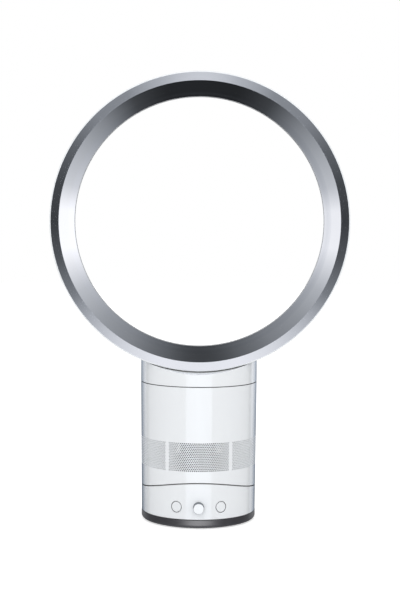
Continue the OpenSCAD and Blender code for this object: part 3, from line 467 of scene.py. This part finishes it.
material, wires, place = canvas("copper")
turns = wires.node("ShaderNodeTexWave", {
    "Vector": place, "Scale": scale_for(2.4), "Distortion": 0.6,
}, out="Fac", bands_direction="Z")
# Darker between the turns of wire: painted shade, and the same bands make the bump
copper_colour = turns.blend((0.35, 0.12, 0.05, 1), (0.78, 0.36, 0.2, 1))
inside["copper"] = finish_off(material, wires, {
    "Base Color": copper_colour, "Metallic": 0.9, "Roughness": 0.34,
    "Normal": wires.bump(turns, 0.7, 0.2),
})
outside = {"gloss_white": gloss_white, "silver": silver, "dark_foot": dark_foot, "dial": silver}
finishes = {**outside, **inside}
print("finishes:", sorted(finishes))

# %% [markdown]
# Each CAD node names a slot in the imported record, and the finish goes on by that name. The nodes
# are loose triangles, so a Weld modifier joins them and an Edge Split keeps the corners crisp
# while the rounds shade smoothly. A node that a modelled skin replaces below gets a finish too,
# which costs nothing.

# %% Finishes on the CAD nodes
slots = {row["node"]: row["material_slot"] for row in frame["record"]["subparts"]}
for node_name, node in frame["nodes"].items():
    node.data.materials.clear()
    node.data.materials.append(finishes[slots[node_name]])
    node.data.polygons.foreach_set("use_smooth", [True] * len(node.data.polygons))
    node.modifiers.new("weld", "WELD").merge_threshold = 0.01 * MM
    node.modifiers.new("crease", "EDGE_SPLIT").split_angle = radians(30)
print("nodes with a finish:", len(frame["nodes"]))

# %% [markdown]
# ## Turned pieces
# Most of the fan is round, and a round piece is easiest to make as a potter does: draw half of its
# section once and turn it about an axis. The section is one face of a few corners. A vertex bevel
# rounds the corners, and a spin sweeps the outline. Doing it corner by corner keeps every radius a
# named number. Wide flat faces beside narrow roundings would shade with a gradient, so a Weighted
# Normal modifier lets the wide ones set the shading.


# %% Turning a section
def new_verts(bm, before):
    """Vertices that were made since the set called before was taken."""
    return [v for v in bm.verts if v not in before]


def turn(bm, corners, steps=192, angle=tau):
    """Turns a section of (radius, height, rounding) corners about Z. Returns its vertices."""
    before = set(bm.verts)
    old_faces = set(bm.faces)
    points = [bm.verts.new((corner[0], 0, corner[1])) for corner in corners]
    bm.faces.new(points)
    roundings = [corner[2] if len(corner) > 2 else 0 for corner in corners]
    for rounding in sorted(set(roundings) - {0}):
        chosen = [point for point, own in zip(points, roundings) if own == rounding]
        bmesh.ops.bevel(bm, geom=chosen, offset=rounding, offset_type="OFFSET",
                        affect="VERTICES", segments=3 + int(rounding), profile=0.5, material=-1)
    faces = [face for face in bm.faces if face not in old_faces]
    full = angle == tau
    if full:
        bmesh.ops.delete(bm, geom=faces, context="FACES_ONLY")
        faces = []
    verts = new_verts(bm, before)
    edges = list({edge for vert in verts for edge in vert.link_edges})
    on_axis = [edge for edge in edges if all(v.co.x < 1e-6 for v in edge.verts)]
    bmesh.ops.delete(bm, geom=on_axis, context="EDGES")
    verts = [v for v in verts if v.is_valid]
    edges = [edge for edge in edges if edge.is_valid]
    bmesh.ops.spin(bm, geom=verts + edges + faces, axis=(0, 0, 1), cent=(0, 0, 0), angle=angle,
                   steps=steps, use_merge=full, use_duplicate=False)
    made = new_verts(bm, before)
    bmesh.ops.remove_doubles(bm, verts=made, dist=1e-4)
    return new_verts(bm, before)


def move(bm, verts, matrix):
    """Places vertices by a matrix."""
    bmesh.ops.transform(bm, matrix=matrix, verts=verts, space=Matrix.Identity(4))


def loop_frame():
    """Turns the Z axis of a turned piece into the loop's axis, front towards -Y."""
    return Matrix.Translation((0, 0, loop_z)) @ Matrix.Rotation(radians(-90), 4, "X")


def facing(angle, height):
    """Turns Z outwards, in a direction round the body that is angle degrees right of the front."""
    return (Matrix.Translation((0, 0, height)) @ Matrix.Rotation(radians(angle - 90), 4, "Z")
            @ Matrix.Rotation(radians(90), 4, "Y"))


# %% Finishing a piece
def piece(name, bm, body, finish, nodes, sharp=35):
    """Makes the mesh an object in metres, smooth except at sharp edges, riding on a CAD body."""
    bmesh.ops.remove_doubles(bm, verts=bm.verts[:], dist=1e-4)
    bmesh.ops.recalc_face_normals(bm, faces=bm.faces[:])
    bmesh.ops.scale(bm, vec=(MM, MM, MM), verts=bm.verts[:])
    open_edges = sum(1 for edge in bm.edges if not edge.is_manifold)
    mesh = bpy.data.meshes.new(name)
    bm.to_mesh(mesh)
    bm.free()
    for own in finish if isinstance(finish, list) else [finish]:
        mesh.materials.append(own)
    mesh.polygons.foreach_set("use_smooth", [True] * len(mesh.polygons))
    mesh.set_sharp_from_angle(angle=radians(sharp))
    obj = bpy.data.objects.new(name, mesh)
    scene.collection.objects.link(obj)
    obj.modifiers.new("weighted", "WEIGHTED_NORMAL").keep_sharp = True
    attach(obj, body)
    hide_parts(*nodes)
    triangles = sum(len(polygon.vertices) - 2 for polygon in mesh.polygons)
    print(f"{name}: {triangles} triangles, {open_edges} open edges")
    return obj


# %% [markdown]
# ## The loop
# Two shells make the hollow loop. The white outer shell has a narrow rounded rim in front, a wall
# that draws in slightly towards the back, and a full round at the back that ends in the rear lip
# of the mouth, whose front edge gets a grey plastic as painted shade. The silver inner shell begins
# with a bevel in front, runs back as a band, and curves into the mouth. Ten small spacers hold the
# mouth open. They get a dark plastic as painted shade, so that the mouth stays one even line.

# %% White outer shell
loop_wall = 2.0
loop_w = 25.2
rim_r = loop_r - 1.4
rim_depth = 7
rear_lip = 0.6
hole_r = loop_r - loop_w
tail_r = loop_r - 1.0
lip_in = hole_r + 1.2
lip_front = rear_y - 13.5
back_round = (tail_r - lip_in) / 2 - 0.1
shell_bm = bmesh.new()
turn(shell_bm, [
    (rim_r, front_y), (loop_r, front_y, 1.0), (loop_r, front_y + rim_depth),
    (tail_r, rear_y, back_round), (lip_in, rear_y, back_round),
    (lip_in, lip_front, 0.2), (lip_in + rear_lip, lip_front, 0.2),
    (lip_in + rear_lip, rear_y - loop_wall, back_round - loop_wall),
    (tail_r - loop_wall, rear_y - loop_wall, back_round - loop_wall),
    (tail_r - loop_wall, front_y + rim_depth + 2), (rim_r, front_y + rim_depth),
], steps=288)
move(shell_bm, shell_bm.verts[:], loop_frame())

# The duct that feeds the loop stands under it, and its top follows the loop's round
duct_r = 33.0
duct_wall = 2.0
duct_y = -4.05
duct = turn(shell_bm, [
    (duct_r - duct_wall, outer_low.z), (duct_r, outer_low.z, 0.5), (duct_r, loop_z - loop_r),
    (duct_r - duct_wall, loop_z - loop_r),
], steps=96)
for vert in duct:
    if vert.co.z > outer_low.z + 2:
        vert.co.z = loop_z - sqrt((loop_r - 0.9) ** 2 - vert.co.x ** 2)
    vert.co.y += duct_y

# The lip's front edge lies in the mouth's shade, and a grey plastic on it is painted shade
lip_edge_r = lip_in + rear_lip - 0.05
for face in shell_bm.faces:
    centre = face.calc_center_median()
    if centre.y < lip_front + 0.3 and hypot(centre.x, centre.z - loop_z) < lip_edge_r:
        face.material_index = 1
shell_with_painted_shade = [gloss_white, inside["grey_plastic"]]
piece("loop_outer", shell_bm, "nozzle", shell_with_painted_shade, ["loop_outer_shell"])

# %% Silver inner shell
lip_r = 167.7
lip_y = front_y + rim_r - lip_r
band_end = Vector((161.4, 7.9, 0))
throat = Vector((154.35, 32.9, 0))
band_slope = (band_end.x - lip_r) / (band_end.y - lip_y)
leaving = band_end + Vector((10 * band_slope, 10, 0))
arriving = throat - Vector((0, 7.5, 0))
curve = interpolate_bezier(band_end, leaving, arriving, throat, 13)
inner_wall = 2.0
nose_depth = 2.4
nose_round = 2.3
bevel_step = 0.83
band_bm = bmesh.new()
turn(band_bm, [
    (rim_r, front_y, 0.15), (lip_r, lip_y, 0.3),
    *[(point.x, point.y) for point in curve[:-1]],
    (throat.x, throat.y + nose_depth, nose_round),
    (throat.x + 2 * nose_depth, throat.y + nose_depth, nose_round),
    (band_end.x + inner_wall, band_end.y), (lip_r + inner_wall, lip_y + bevel_step),
    (rim_r - inner_wall, front_y + 2 * inner_wall + bevel_step),
    (rim_r - inner_wall, front_y + 6), (rim_r, front_y + 6),
], steps=288)
move(band_bm, band_bm.verts[:], loop_frame())

# Spacers in the mouth, each turned about the loop's axis
SPACERS = 10
spacer_size = Matrix.Diagonal((2, 2, 2.1, 1))
spacer_y = 34.2
to_axis = Matrix.Translation((0, 0, loop_z))
to_mouth = Matrix.Translation((0, spacer_y, lip_in + 1.5))
for index in range(SPACERS):
    rib = bmesh.ops.create_cube(band_bm, size=1)["verts"]
    turned = Matrix.Rotation(tau * (index + 0.5) / SPACERS, 4, "Y")
    move(band_bm, rib, to_axis @ turned @ to_mouth @ spacer_size)
    # The spacers get the dark plastic as painted shade
    for face in {face for vert in rib for face in vert.link_faces}:
        face.material_index = 1
band_with_painted_shade = [silver, inside["black_plastic"]]
piece("loop_band", band_bm, "nozzle", band_with_painted_shade, ["loop_inner_shell"])

# %% [markdown]
# ## The neck
# The neck is a short cup with a saddle on top, in which the loop rests. It is turned with a flat
# top, and then every point of the top is lifted to the saddle's curve, a circle about the loop's
# axis. Below it, a collar with three lugs goes into the body. The loop's shadow makes a fine dark
# line on the real saddle, so two cuts mark off the faces under the loop, and these get a dark
# plastic as a painted shadow. The neck's underside and collar get it too, as painted shade.

# %% Neck
saddle_r = loop_r + 0.5
neck_floor_z = body_top + 0.7
saddle_low = loop_z - saddle_r
saddle_wall = 2.6
neck_wall = 2.4
collar_r = 61.5
collar_wall = 3.4
neck_bm = bmesh.new()
rings = [body_r, 62, 54, 46, 39, duct_r + 0.3]
top = [(radius, saddle_low) for radius in rings]
under = [(radius, saddle_low - saddle_wall) for radius in reversed(rings)]
top[0] = (body_r, saddle_low, 1.0)
under[-1] = (body_r - neck_wall, saddle_low - saddle_wall)
neck_verts = turn(neck_bm, [
    (body_r, neck_floor_z, 0.4), *top, *under,
    (body_r - neck_wall, neck_floor_z + neck_wall),
    (collar_r - collar_wall, neck_floor_z + neck_wall),
    (collar_r - collar_wall, neck_low.z, 0.4), (collar_r, neck_low.z, 0.8),
    (collar_r, neck_floor_z),
], steps=240)
for vert in neck_verts:
    if vert.co.z > saddle_low - saddle_wall - 1:
        vert.co.z += loop_z - sqrt(saddle_r ** 2 - vert.co.x ** 2) - saddle_low
        if hypot(vert.co.x, vert.co.y) < duct_r + 1:
            vert.co.y += duct_y

# Lugs of the bayonet, each a short arc round the collar
LUGS = 3
LUG_ANGLE = 16
lug_in, lug_out = collar_r - 1.7, collar_r + 3
lug_low, lug_high = neck_low.z + 2.4, neck_low.z + 5.4
lug_corners = [(lug_in, lug_low), (lug_out, lug_low), (lug_out, lug_high), (lug_in, lug_high)]
for index in range(LUGS):
    lug = turn(neck_bm, lug_corners, steps=8, angle=radians(LUG_ANGLE))
    lug_start = 90 - LUG_ANGLE / 2 + 360 / LUGS * index
    move(neck_bm, lug, Matrix.Rotation(radians(lug_start), 4, "Z"))

# Painted shade: the saddle between two cuts gets the loop's painted shadow, and the underside and
# the collar get painted shade
painted_shadow_from = front_y - 0.6
painted_shadow_to = rear_y - back_round + 3
for cut_y in (painted_shadow_from, painted_shadow_to):
    bmesh.ops.bisect_plane(neck_bm, geom=neck_bm.verts[:] + neck_bm.edges[:] + neck_bm.faces[:],
                           plane_co=(0, cut_y, 0), plane_no=(0, 1, 0))
bmesh.ops.recalc_face_normals(neck_bm, faces=neck_bm.faces[:])
for face in neck_bm.faces:
    centre = face.calc_center_median()
    out = hypot(centre.x, centre.y)
    on_saddle = out < body_r - 0.25 and centre.z > neck_floor_z + 5
    under_loop = on_saddle and painted_shadow_from < centre.y < painted_shadow_to
    below = out < body_r - 1.2 and face.normal.z < 0.2
    if under_loop or below or centre.z < neck_floor_z - 0.1:
        face.material_index = 1
white_and_painted_shade = [gloss_white, inside["black_plastic"]]
piece("neck_skin", neck_bm, "nozzle", white_and_painted_shade, ["neck"])

# %% [markdown]
# ## Casings, cut flat and rolled up
# The casings are thin walls with openings: over two thousand pinholes in one, two buttons and a
# dial in the other. Openings are simple to cut in a flat sheet. So each wall starts as a grid,
# laid out like a label that has been peeled off, gets its openings and its thickness, and is
# rolled up at the end. The inner skin and the seams get a dark plastic as painted shade, for the
# shade inside a real casing.

# %% Rolling a sheet
ROLL_R = 69.3
tilt_axis_z = 239.2
tilt_r = 198.2
seam_low = 0.4
seam_high = 0.8
waist_r = 68.4
foot_top = 10.8
neck_seam_z = 165.7
wall = 2.4
edge_round = 0.3


def body_radius(z):
    """Outer radius of the body at a height: it widens a little towards the neck."""
    return waist_r + (body_r - waist_r) * (z - foot_top) / (neck_seam_z - foot_top)


def tilt_edge(radius, vert):
    """Height of the tilt seam's edge at a sheet's vertex: a cylinder about the tilt axis."""
    out = (ROLL_R + vert.co.y) * cos(vert.co.x / ROLL_R)
    return tilt_axis_z - sqrt(radius ** 2 - out ** 2)


def roll_up(bm):
    """Rolls a sheet round the body: X is the way round, and Y is the depth outwards."""
    for vert in bm.verts:
        angle = vert.co.x / ROLL_R
        radius = body_radius(vert.co.z) + vert.co.y
        vert.co.x, vert.co.y = radius * sin(angle), -radius * cos(angle)
    bmesh.ops.remove_doubles(bm, verts=bm.verts[:], dist=1e-3)


def sheet(columns, heights):
    """Grid once round the body, with a row of vertices at each height."""
    bm = bmesh.new()
    bmesh.ops.create_grid(bm, x_segments=columns, y_segments=len(heights) - 1, size=1)
    for vert in bm.verts:
        row = round((vert.co.y + 1) / 2 * (len(heights) - 1))
        vert.co = (vert.co.x * pi * ROLL_R, 0, heights[row])
    return bm


def round_edges(bm, edges):
    """Rounds the outside edges of a sheet."""
    bmesh.ops.bevel(bm, geom=edges, offset=edge_round, offset_type="OFFSET", affect="EDGES",
                    segments=2, profile=0.5, material=-1)


def thicken(bm, depth):
    """Gives a flat sheet its depth inwards, rounds its rims, and opens the ends for the roll."""
    bm.normal_update()
    low = min(vert.co.z for vert in bm.verts)
    high = max(vert.co.z for vert in bm.verts)
    ends = pi * ROLL_R - 1e-3
    copied = bmesh.ops.extrude_face_region(bm, geom=bm.faces[:])["geom"]
    for item in copied:
        if isinstance(item, bmesh.types.BMVert):
            item.co.y -= depth
    closing = [face for face in bm.faces if all(abs(vert.co.x) > ends for vert in face.verts)]
    bmesh.ops.delete(bm, geom=closing, context="FACES")
    rims = [edge for edge in bm.edges if len(edge.link_faces) == 2
            and all(vert.co.y > -1e-6 for vert in edge.verts)
            and abs(edge.link_faces[0].normal.dot(edge.link_faces[1].normal)) < 0.5
            and (all(vert.co.z < low + 1e-4 for vert in edge.verts)
                 or all(vert.co.z > high - 1e-4 for vert in edge.verts))]
    round_edges(bm, rims)


def paint_shade_inside(bm, openings=True):
    """Paints shade with the second material on the inner skin and the seams, and on openings if
    asked.
    """
    low = min(vert.co.z for vert in bm.verts)
    high = max(vert.co.z for vert in bm.verts)
    for face in bm.faces:
        deep = [vert.co.y < -0.5 for vert in face.verts]
        at_seam = all(min(vert.co.z - low, high - vert.co.z) < 0.5 for vert in face.verts)
        if all(deep) or (any(deep) and (openings or at_seam)):
            face.material_index = 1


# %% [markdown]
# The motor casing draws air in through its pinholes. They lie in staggered rows, in five panels
# with plain ribs between them, and the back is plain. On the grid every hole is one vertex: a
# vertex bevel opens it to a diamond, two cuts on each side make twelve corners, and the corners
# move out to a circle. That costs far fewer faces than a cylinder cut out of the wall for each.

# %% Motor casing
HOLE_ROWS = 17
HOLE_R = 0.83
PANEL_PITCH = 65
PANEL_HALF = 30
PANELS_EACH_SIDE = 2
CASING_COLUMNS = 360
grille_low = 67.2
grille_h = 33.3
row_pitch = (grille_h - 2 * HOLE_R) / (HOLE_ROWS - 1)
first_row = grille_low + HOLE_R
hole_heights = [first_row + row * row_pitch for row in range(HOLE_ROWS)]
casing_bottom = tilt_axis_z - (tilt_r - seam_high)
blend_z = 60.0
rows_below = [casing_bottom, 50, blend_z, first_row - row_pitch]
rows_above = [hole_heights[-1] + row_pitch, 115, 130, 148, body_top - 0.1]
casing_bm = sheet(CASING_COLUMNS, rows_below + hole_heights + rows_above)
column = tau * ROLL_R / CASING_COLUMNS


def hole_centre(co):
    """Nearest grid point and whether a hole belongs there."""
    degree = round(co.x / column)
    row = round((co.z - first_row) / row_pitch)
    panel = round(degree / PANEL_PITCH)
    offset = degree - panel * PANEL_PITCH
    inside_panel = abs(panel) <= PANELS_EACH_SIDE and abs(offset) <= PANEL_HALF
    staggered = (offset + row) % 2 == 0
    wanted = inside_panel and 0 <= row < HOLE_ROWS and staggered
    return Vector((degree * column, 0, first_row + row * row_pitch)), wanted


def near_hole(co, reach):
    """Whether a point lies within reach of a hole's centre."""
    centre, wanted = hole_centre(co)
    return wanted and (co - centre).length < reach


drilled = [vert for vert in casing_bm.verts if near_hole(vert.co, 1e-2)]
print("pinholes:", len(drilled))
bmesh.ops.bevel(casing_bm, geom=drilled, offset=HOLE_R, offset_type="OFFSET",
                affect="VERTICES", segments=1, profile=0.5, material=-1)
diamonds = [face for face in casing_bm.faces
            if len(face.verts) == 4 and face.calc_area() < 2.05 * HOLE_R ** 2
            and near_hole(face.calc_center_median(), 0.05)]
sides = list({edge for face in diamonds for edge in face.edges})
bmesh.ops.delete(casing_bm, geom=diamonds, context="FACES_ONLY")
bmesh.ops.subdivide_edges(casing_bm, edges=sides, cuts=2)
for vert in casing_bm.verts:
    if near_hole(vert.co, HOLE_R + 0.05):
        centre, _ = hole_centre(vert.co)
        vert.co = centre + (vert.co - centre).normalized() * HOLE_R
thicken(casing_bm, wall)
# Painted shade: the inner skin and the seams get the dark plastic
paint_shade_inside(casing_bm, openings=False)

# Below blend_z the rows bend, so that the lowest follows the tilt seam
for vert in casing_bm.verts:
    if vert.co.z < blend_z:
        edge_z = tilt_edge(tilt_r - seam_high, vert)
        spread = (vert.co.z - casing_bottom) * (blend_z - edge_z)
        vert.co.z = edge_z + spread / (blend_z - casing_bottom)
roll_up(casing_bm)
piece("motor_casing_skin", casing_bm, "upper_body", white_and_painted_shade, ["motor_casing"])

# %% [markdown]
# The lower casing swings on the foot and carries the dial and the two buttons. Each control sits
# in a round hole: a square window is taken out of the grid, a circle is drawn in it, and bridging
# the two outlines fills the space between them with tidy faces.

# %% Lower casing
control_z = 25.5
button_angle = 22.4
button_r = 5.9
dial_r = 6.3
control_gap = 0.8
dial_gap = 0.15
WINDOW = 9.0
lower_bottom = 11.4
lower_top = tilt_axis_z - (tilt_r + seam_low)
lower_columns = 288
lower_rows = 20
lower_step = (lower_top - lower_bottom) / lower_rows
lower_heights = [lower_bottom + lower_step * row for row in range(lower_rows + 1)]
lower_bm = sheet(lower_columns, lower_heights)
lower_column = tau * ROLL_R / lower_columns
button_x = radians(button_angle) * ROLL_R
button_hole_r = button_r + control_gap
dial_hole_r = dial_r + dial_gap
controls = [(-button_x, button_hole_r), (0, dial_hole_r), (button_x, button_hole_r)]
stood_up = Matrix.Rotation(radians(90), 4, "X")
for place_x, radius in controls:
    middle = round(place_x / lower_column) * lower_column
    window = [face for face in lower_bm.faces
              if abs(face.calc_center_median().x - middle) < WINDOW
              and abs(face.calc_center_median().z - control_z) < WINDOW]
    border = [edge for edge in {e for face in window for e in face.edges}
              if len([f for f in edge.link_faces if f in set(window)]) == 1]
    bmesh.ops.delete(lower_bm, geom=window, context="FACES")
    border = [edge for edge in border if edge.is_valid]
    circle = bmesh.ops.create_circle(lower_bm, segments=len(border), radius=radius)["verts"]
    move(lower_bm, circle, Matrix.Translation((place_x, 0, control_z)) @ stood_up)
    rim = list({edge for vert in circle for edge in vert.link_edges})
    bmesh.ops.bridge_loops(lower_bm, edges=border + rim)
bmesh.ops.recalc_face_normals(lower_bm, faces=lower_bm.faces[:])
thicken(lower_bm, wall)
hole_rims = [edge for edge in lower_bm.edges if all(v.co.y > -1e-6 for v in edge.verts) and any(
    all(abs(hypot(v.co.x - place_x, v.co.z - control_z) - radius) < 1e-3 for v in edge.verts)
    for place_x, radius in controls)]
round_edges(lower_bm, hole_rims)
# Painted shade: the inner skin, the seams and the walls of the control holes get the dark plastic
paint_shade_inside(lower_bm)

# The wall of the dial's hole stays white
for face in lower_bm.faces:
    centre = face.calc_center_median()
    if hypot(centre.x, centre.z - control_z) < dial_r + 0.4 and centre.y > -wall + 0.01:
        face.material_index = 0

# Above level_z the rows bend, so that the highest follows the tilt seam
level_z = 35
for vert in lower_bm.verts:
    if vert.co.z > level_z:
        edge_z = tilt_edge(tilt_r + seam_low, vert)
        spread = (vert.co.z - level_z) * (edge_z - level_z)
        vert.co.z = level_z + spread / (lower_top - level_z)
roll_up(lower_bm)
piece("lower_casing_skin", lower_bm, "lower_body", white_and_painted_shade, ["lower_casing"])

# %% [markdown]
# ## Buttons and dial
# Each button is a plunger: a cap that is flush with the casing, a flange that keeps it in, and a
# stem that reaches the switch. Its face is bent to the casing's round after turning. The dial
# stands out of the casing, with a pale face and a darker side round it.

# %% Buttons
flange_out = 65.3
flange_in = flange_out - 1.5
flange_r = 8
stem_in = flange_out - 10
stem_r = 2.5


def button(name, side, node, body):
    """Turns a plunger, bends its face to the casing's round, and places it on its side."""
    bm = bmesh.new()
    face_at = body_radius(control_z)
    verts = turn(bm, [
        (0, stem_in), (stem_r, stem_in, 0.3), (stem_r, flange_in), (flange_r, flange_in),
        (flange_r, flange_out), (button_r, flange_out), (button_r, face_at, 0.35),
        (5, face_at), (3.5, face_at), (2, face_at), (0, face_at),
    ], steps=64)
    for vert in verts:
        if vert.co.z > flange_out + 1:
            vert.co.z += sqrt(face_at ** 2 - vert.co.y ** 2) - face_at
    move(bm, verts, facing(side * button_angle, control_z))
    piece(name, bm, body, gloss_white, [node])


button("power_key", 1, "power_button", "power")
button("swing_key_cap", -1, "swing_button", "swing_key")

# %% [markdown]
# A coil spring behind each button pushes it back out. A screw is a spin that climbs as it turns,
# so a small circle of wire becomes a coil. It stands on the switch holder.

# %% Button springs
SPRING_R = 3.9
SPRING_WIRE_R = 0.35
SPRING_TURNS = 4
SPRING_STEPS = 24
spring_in = 58.05
spring_out = flange_out - 1.55


def coil_spring(name, side, node):
    """Helix of round wire along the button's axis, with closed ends."""
    bm = bmesh.new()
    wire = bmesh.ops.create_circle(bm, segments=8, radius=SPRING_WIRE_R)["verts"]
    start = Matrix.Translation((SPRING_R, 0, spring_in + SPRING_WIRE_R))
    move(bm, wire, start @ stood_up)
    steps = SPRING_TURNS * SPRING_STEPS
    climb = (spring_out - spring_in - 2 * SPRING_WIRE_R) / steps
    bmesh.ops.spin(bm, geom=wire + bm.edges[:], cent=(0, 0, 0), axis=(0, 0, 1),
                   dvec=(0, 0, climb), angle=tau * SPRING_TURNS, steps=steps, use_merge=False,
                   use_duplicate=False)
    ends = [edge for edge in bm.edges if edge.is_boundary]
    bmesh.ops.edgeloop_fill(bm, edges=ends)
    place = facing(side * button_angle, control_z)
    move(bm, bm.verts[:], place)
    coil = piece(name, bm, "lower_body", inside["steel"], [node])
    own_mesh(coil)


coil_spring("power_coil", 1, "power_spring")
coil_spring("swing_coil", -1, "swing_spring")

# %% Dial
dial_proud = 8
dial_front = body_radius(control_z) + dial_proud
dial_back = 63.0
bore_r = 3.05
bore_end = dial_back + 6
dial_bm = bmesh.new()
turn(dial_bm, [
    (bore_r, dial_back), (dial_r, dial_back, 0.3), (dial_r, dial_front, 1.0),
    (4.4, dial_front), (0, dial_front), (0, bore_end), (bore_r, bore_end),
], steps=96)
move(dial_bm, dial_bm.verts[:], facing(0, control_z))
dark_side_r = dial_r - 0.25
for face in dial_bm.faces:
    centre = face.calc_center_median()
    if hypot(centre.x, centre.z - control_z) > dark_side_r:
        face.material_index = 1
piece("dial_knob", dial_bm, "dial", [gloss_white, dial_side], ["speed_dial"])

# %% [markdown]
# ## Foot
# The dark foot is a shallow dish with a well rounded lower edge. Inside it are the spindle that
# the body swings on, the seat of the fixed gear and the race that carries the turntable.

# %% Foot
foot_bm = bmesh.new()
foot_r = 68.6
foot_wall = 3
foot_low = 1.2
dish_z = 3.8
underside = [(0, foot_low), (49, foot_low), (49, 2.4), (61, 2.4), (61, foot_low)]
outer_wall = [(foot_r, foot_low, 4.0), (foot_r, foot_top, 0.4),
              (foot_r - foot_wall, foot_top, 0.3), (foot_r - foot_wall, dish_z)]
race = [(46, dish_z), (46, 10.2), (40, 10.2), (40, dish_z)]
gear_seat = [(21, dish_z), (21, 6), (15.2, 6), (15.2, dish_z)]
spindle = [(8, dish_z), (8, 20, 0.4), (5, 20), (5, dish_z), (0, dish_z)]
turn(foot_bm, underside + outer_wall + race + gear_seat + spindle, steps=240)
piece("foot_shell", foot_bm, "foot", dark_foot, ["base_plate"])

# %% Gland at the back of the foot
gland_z = 6.3
gland_r = 4.5
gland_hole_r = 2.9
gland_in, gland_seat, gland_out = foot_r - 6, foot_r + 0.05, foot_r + 2
gland_bm = bmesh.new()
gland = turn(gland_bm, [
    (gland_hole_r, gland_in), (4, gland_in, 0.3), (4, gland_seat), (gland_r, gland_seat),
    (gland_r, gland_out, 0.6), (gland_hole_r, gland_out, 0.5),
], steps=64)
move(gland_bm, gland, facing(180, gland_z))
piece("gland_collar", gland_bm, "foot", inside["black_plastic"], ["cable_gland"])
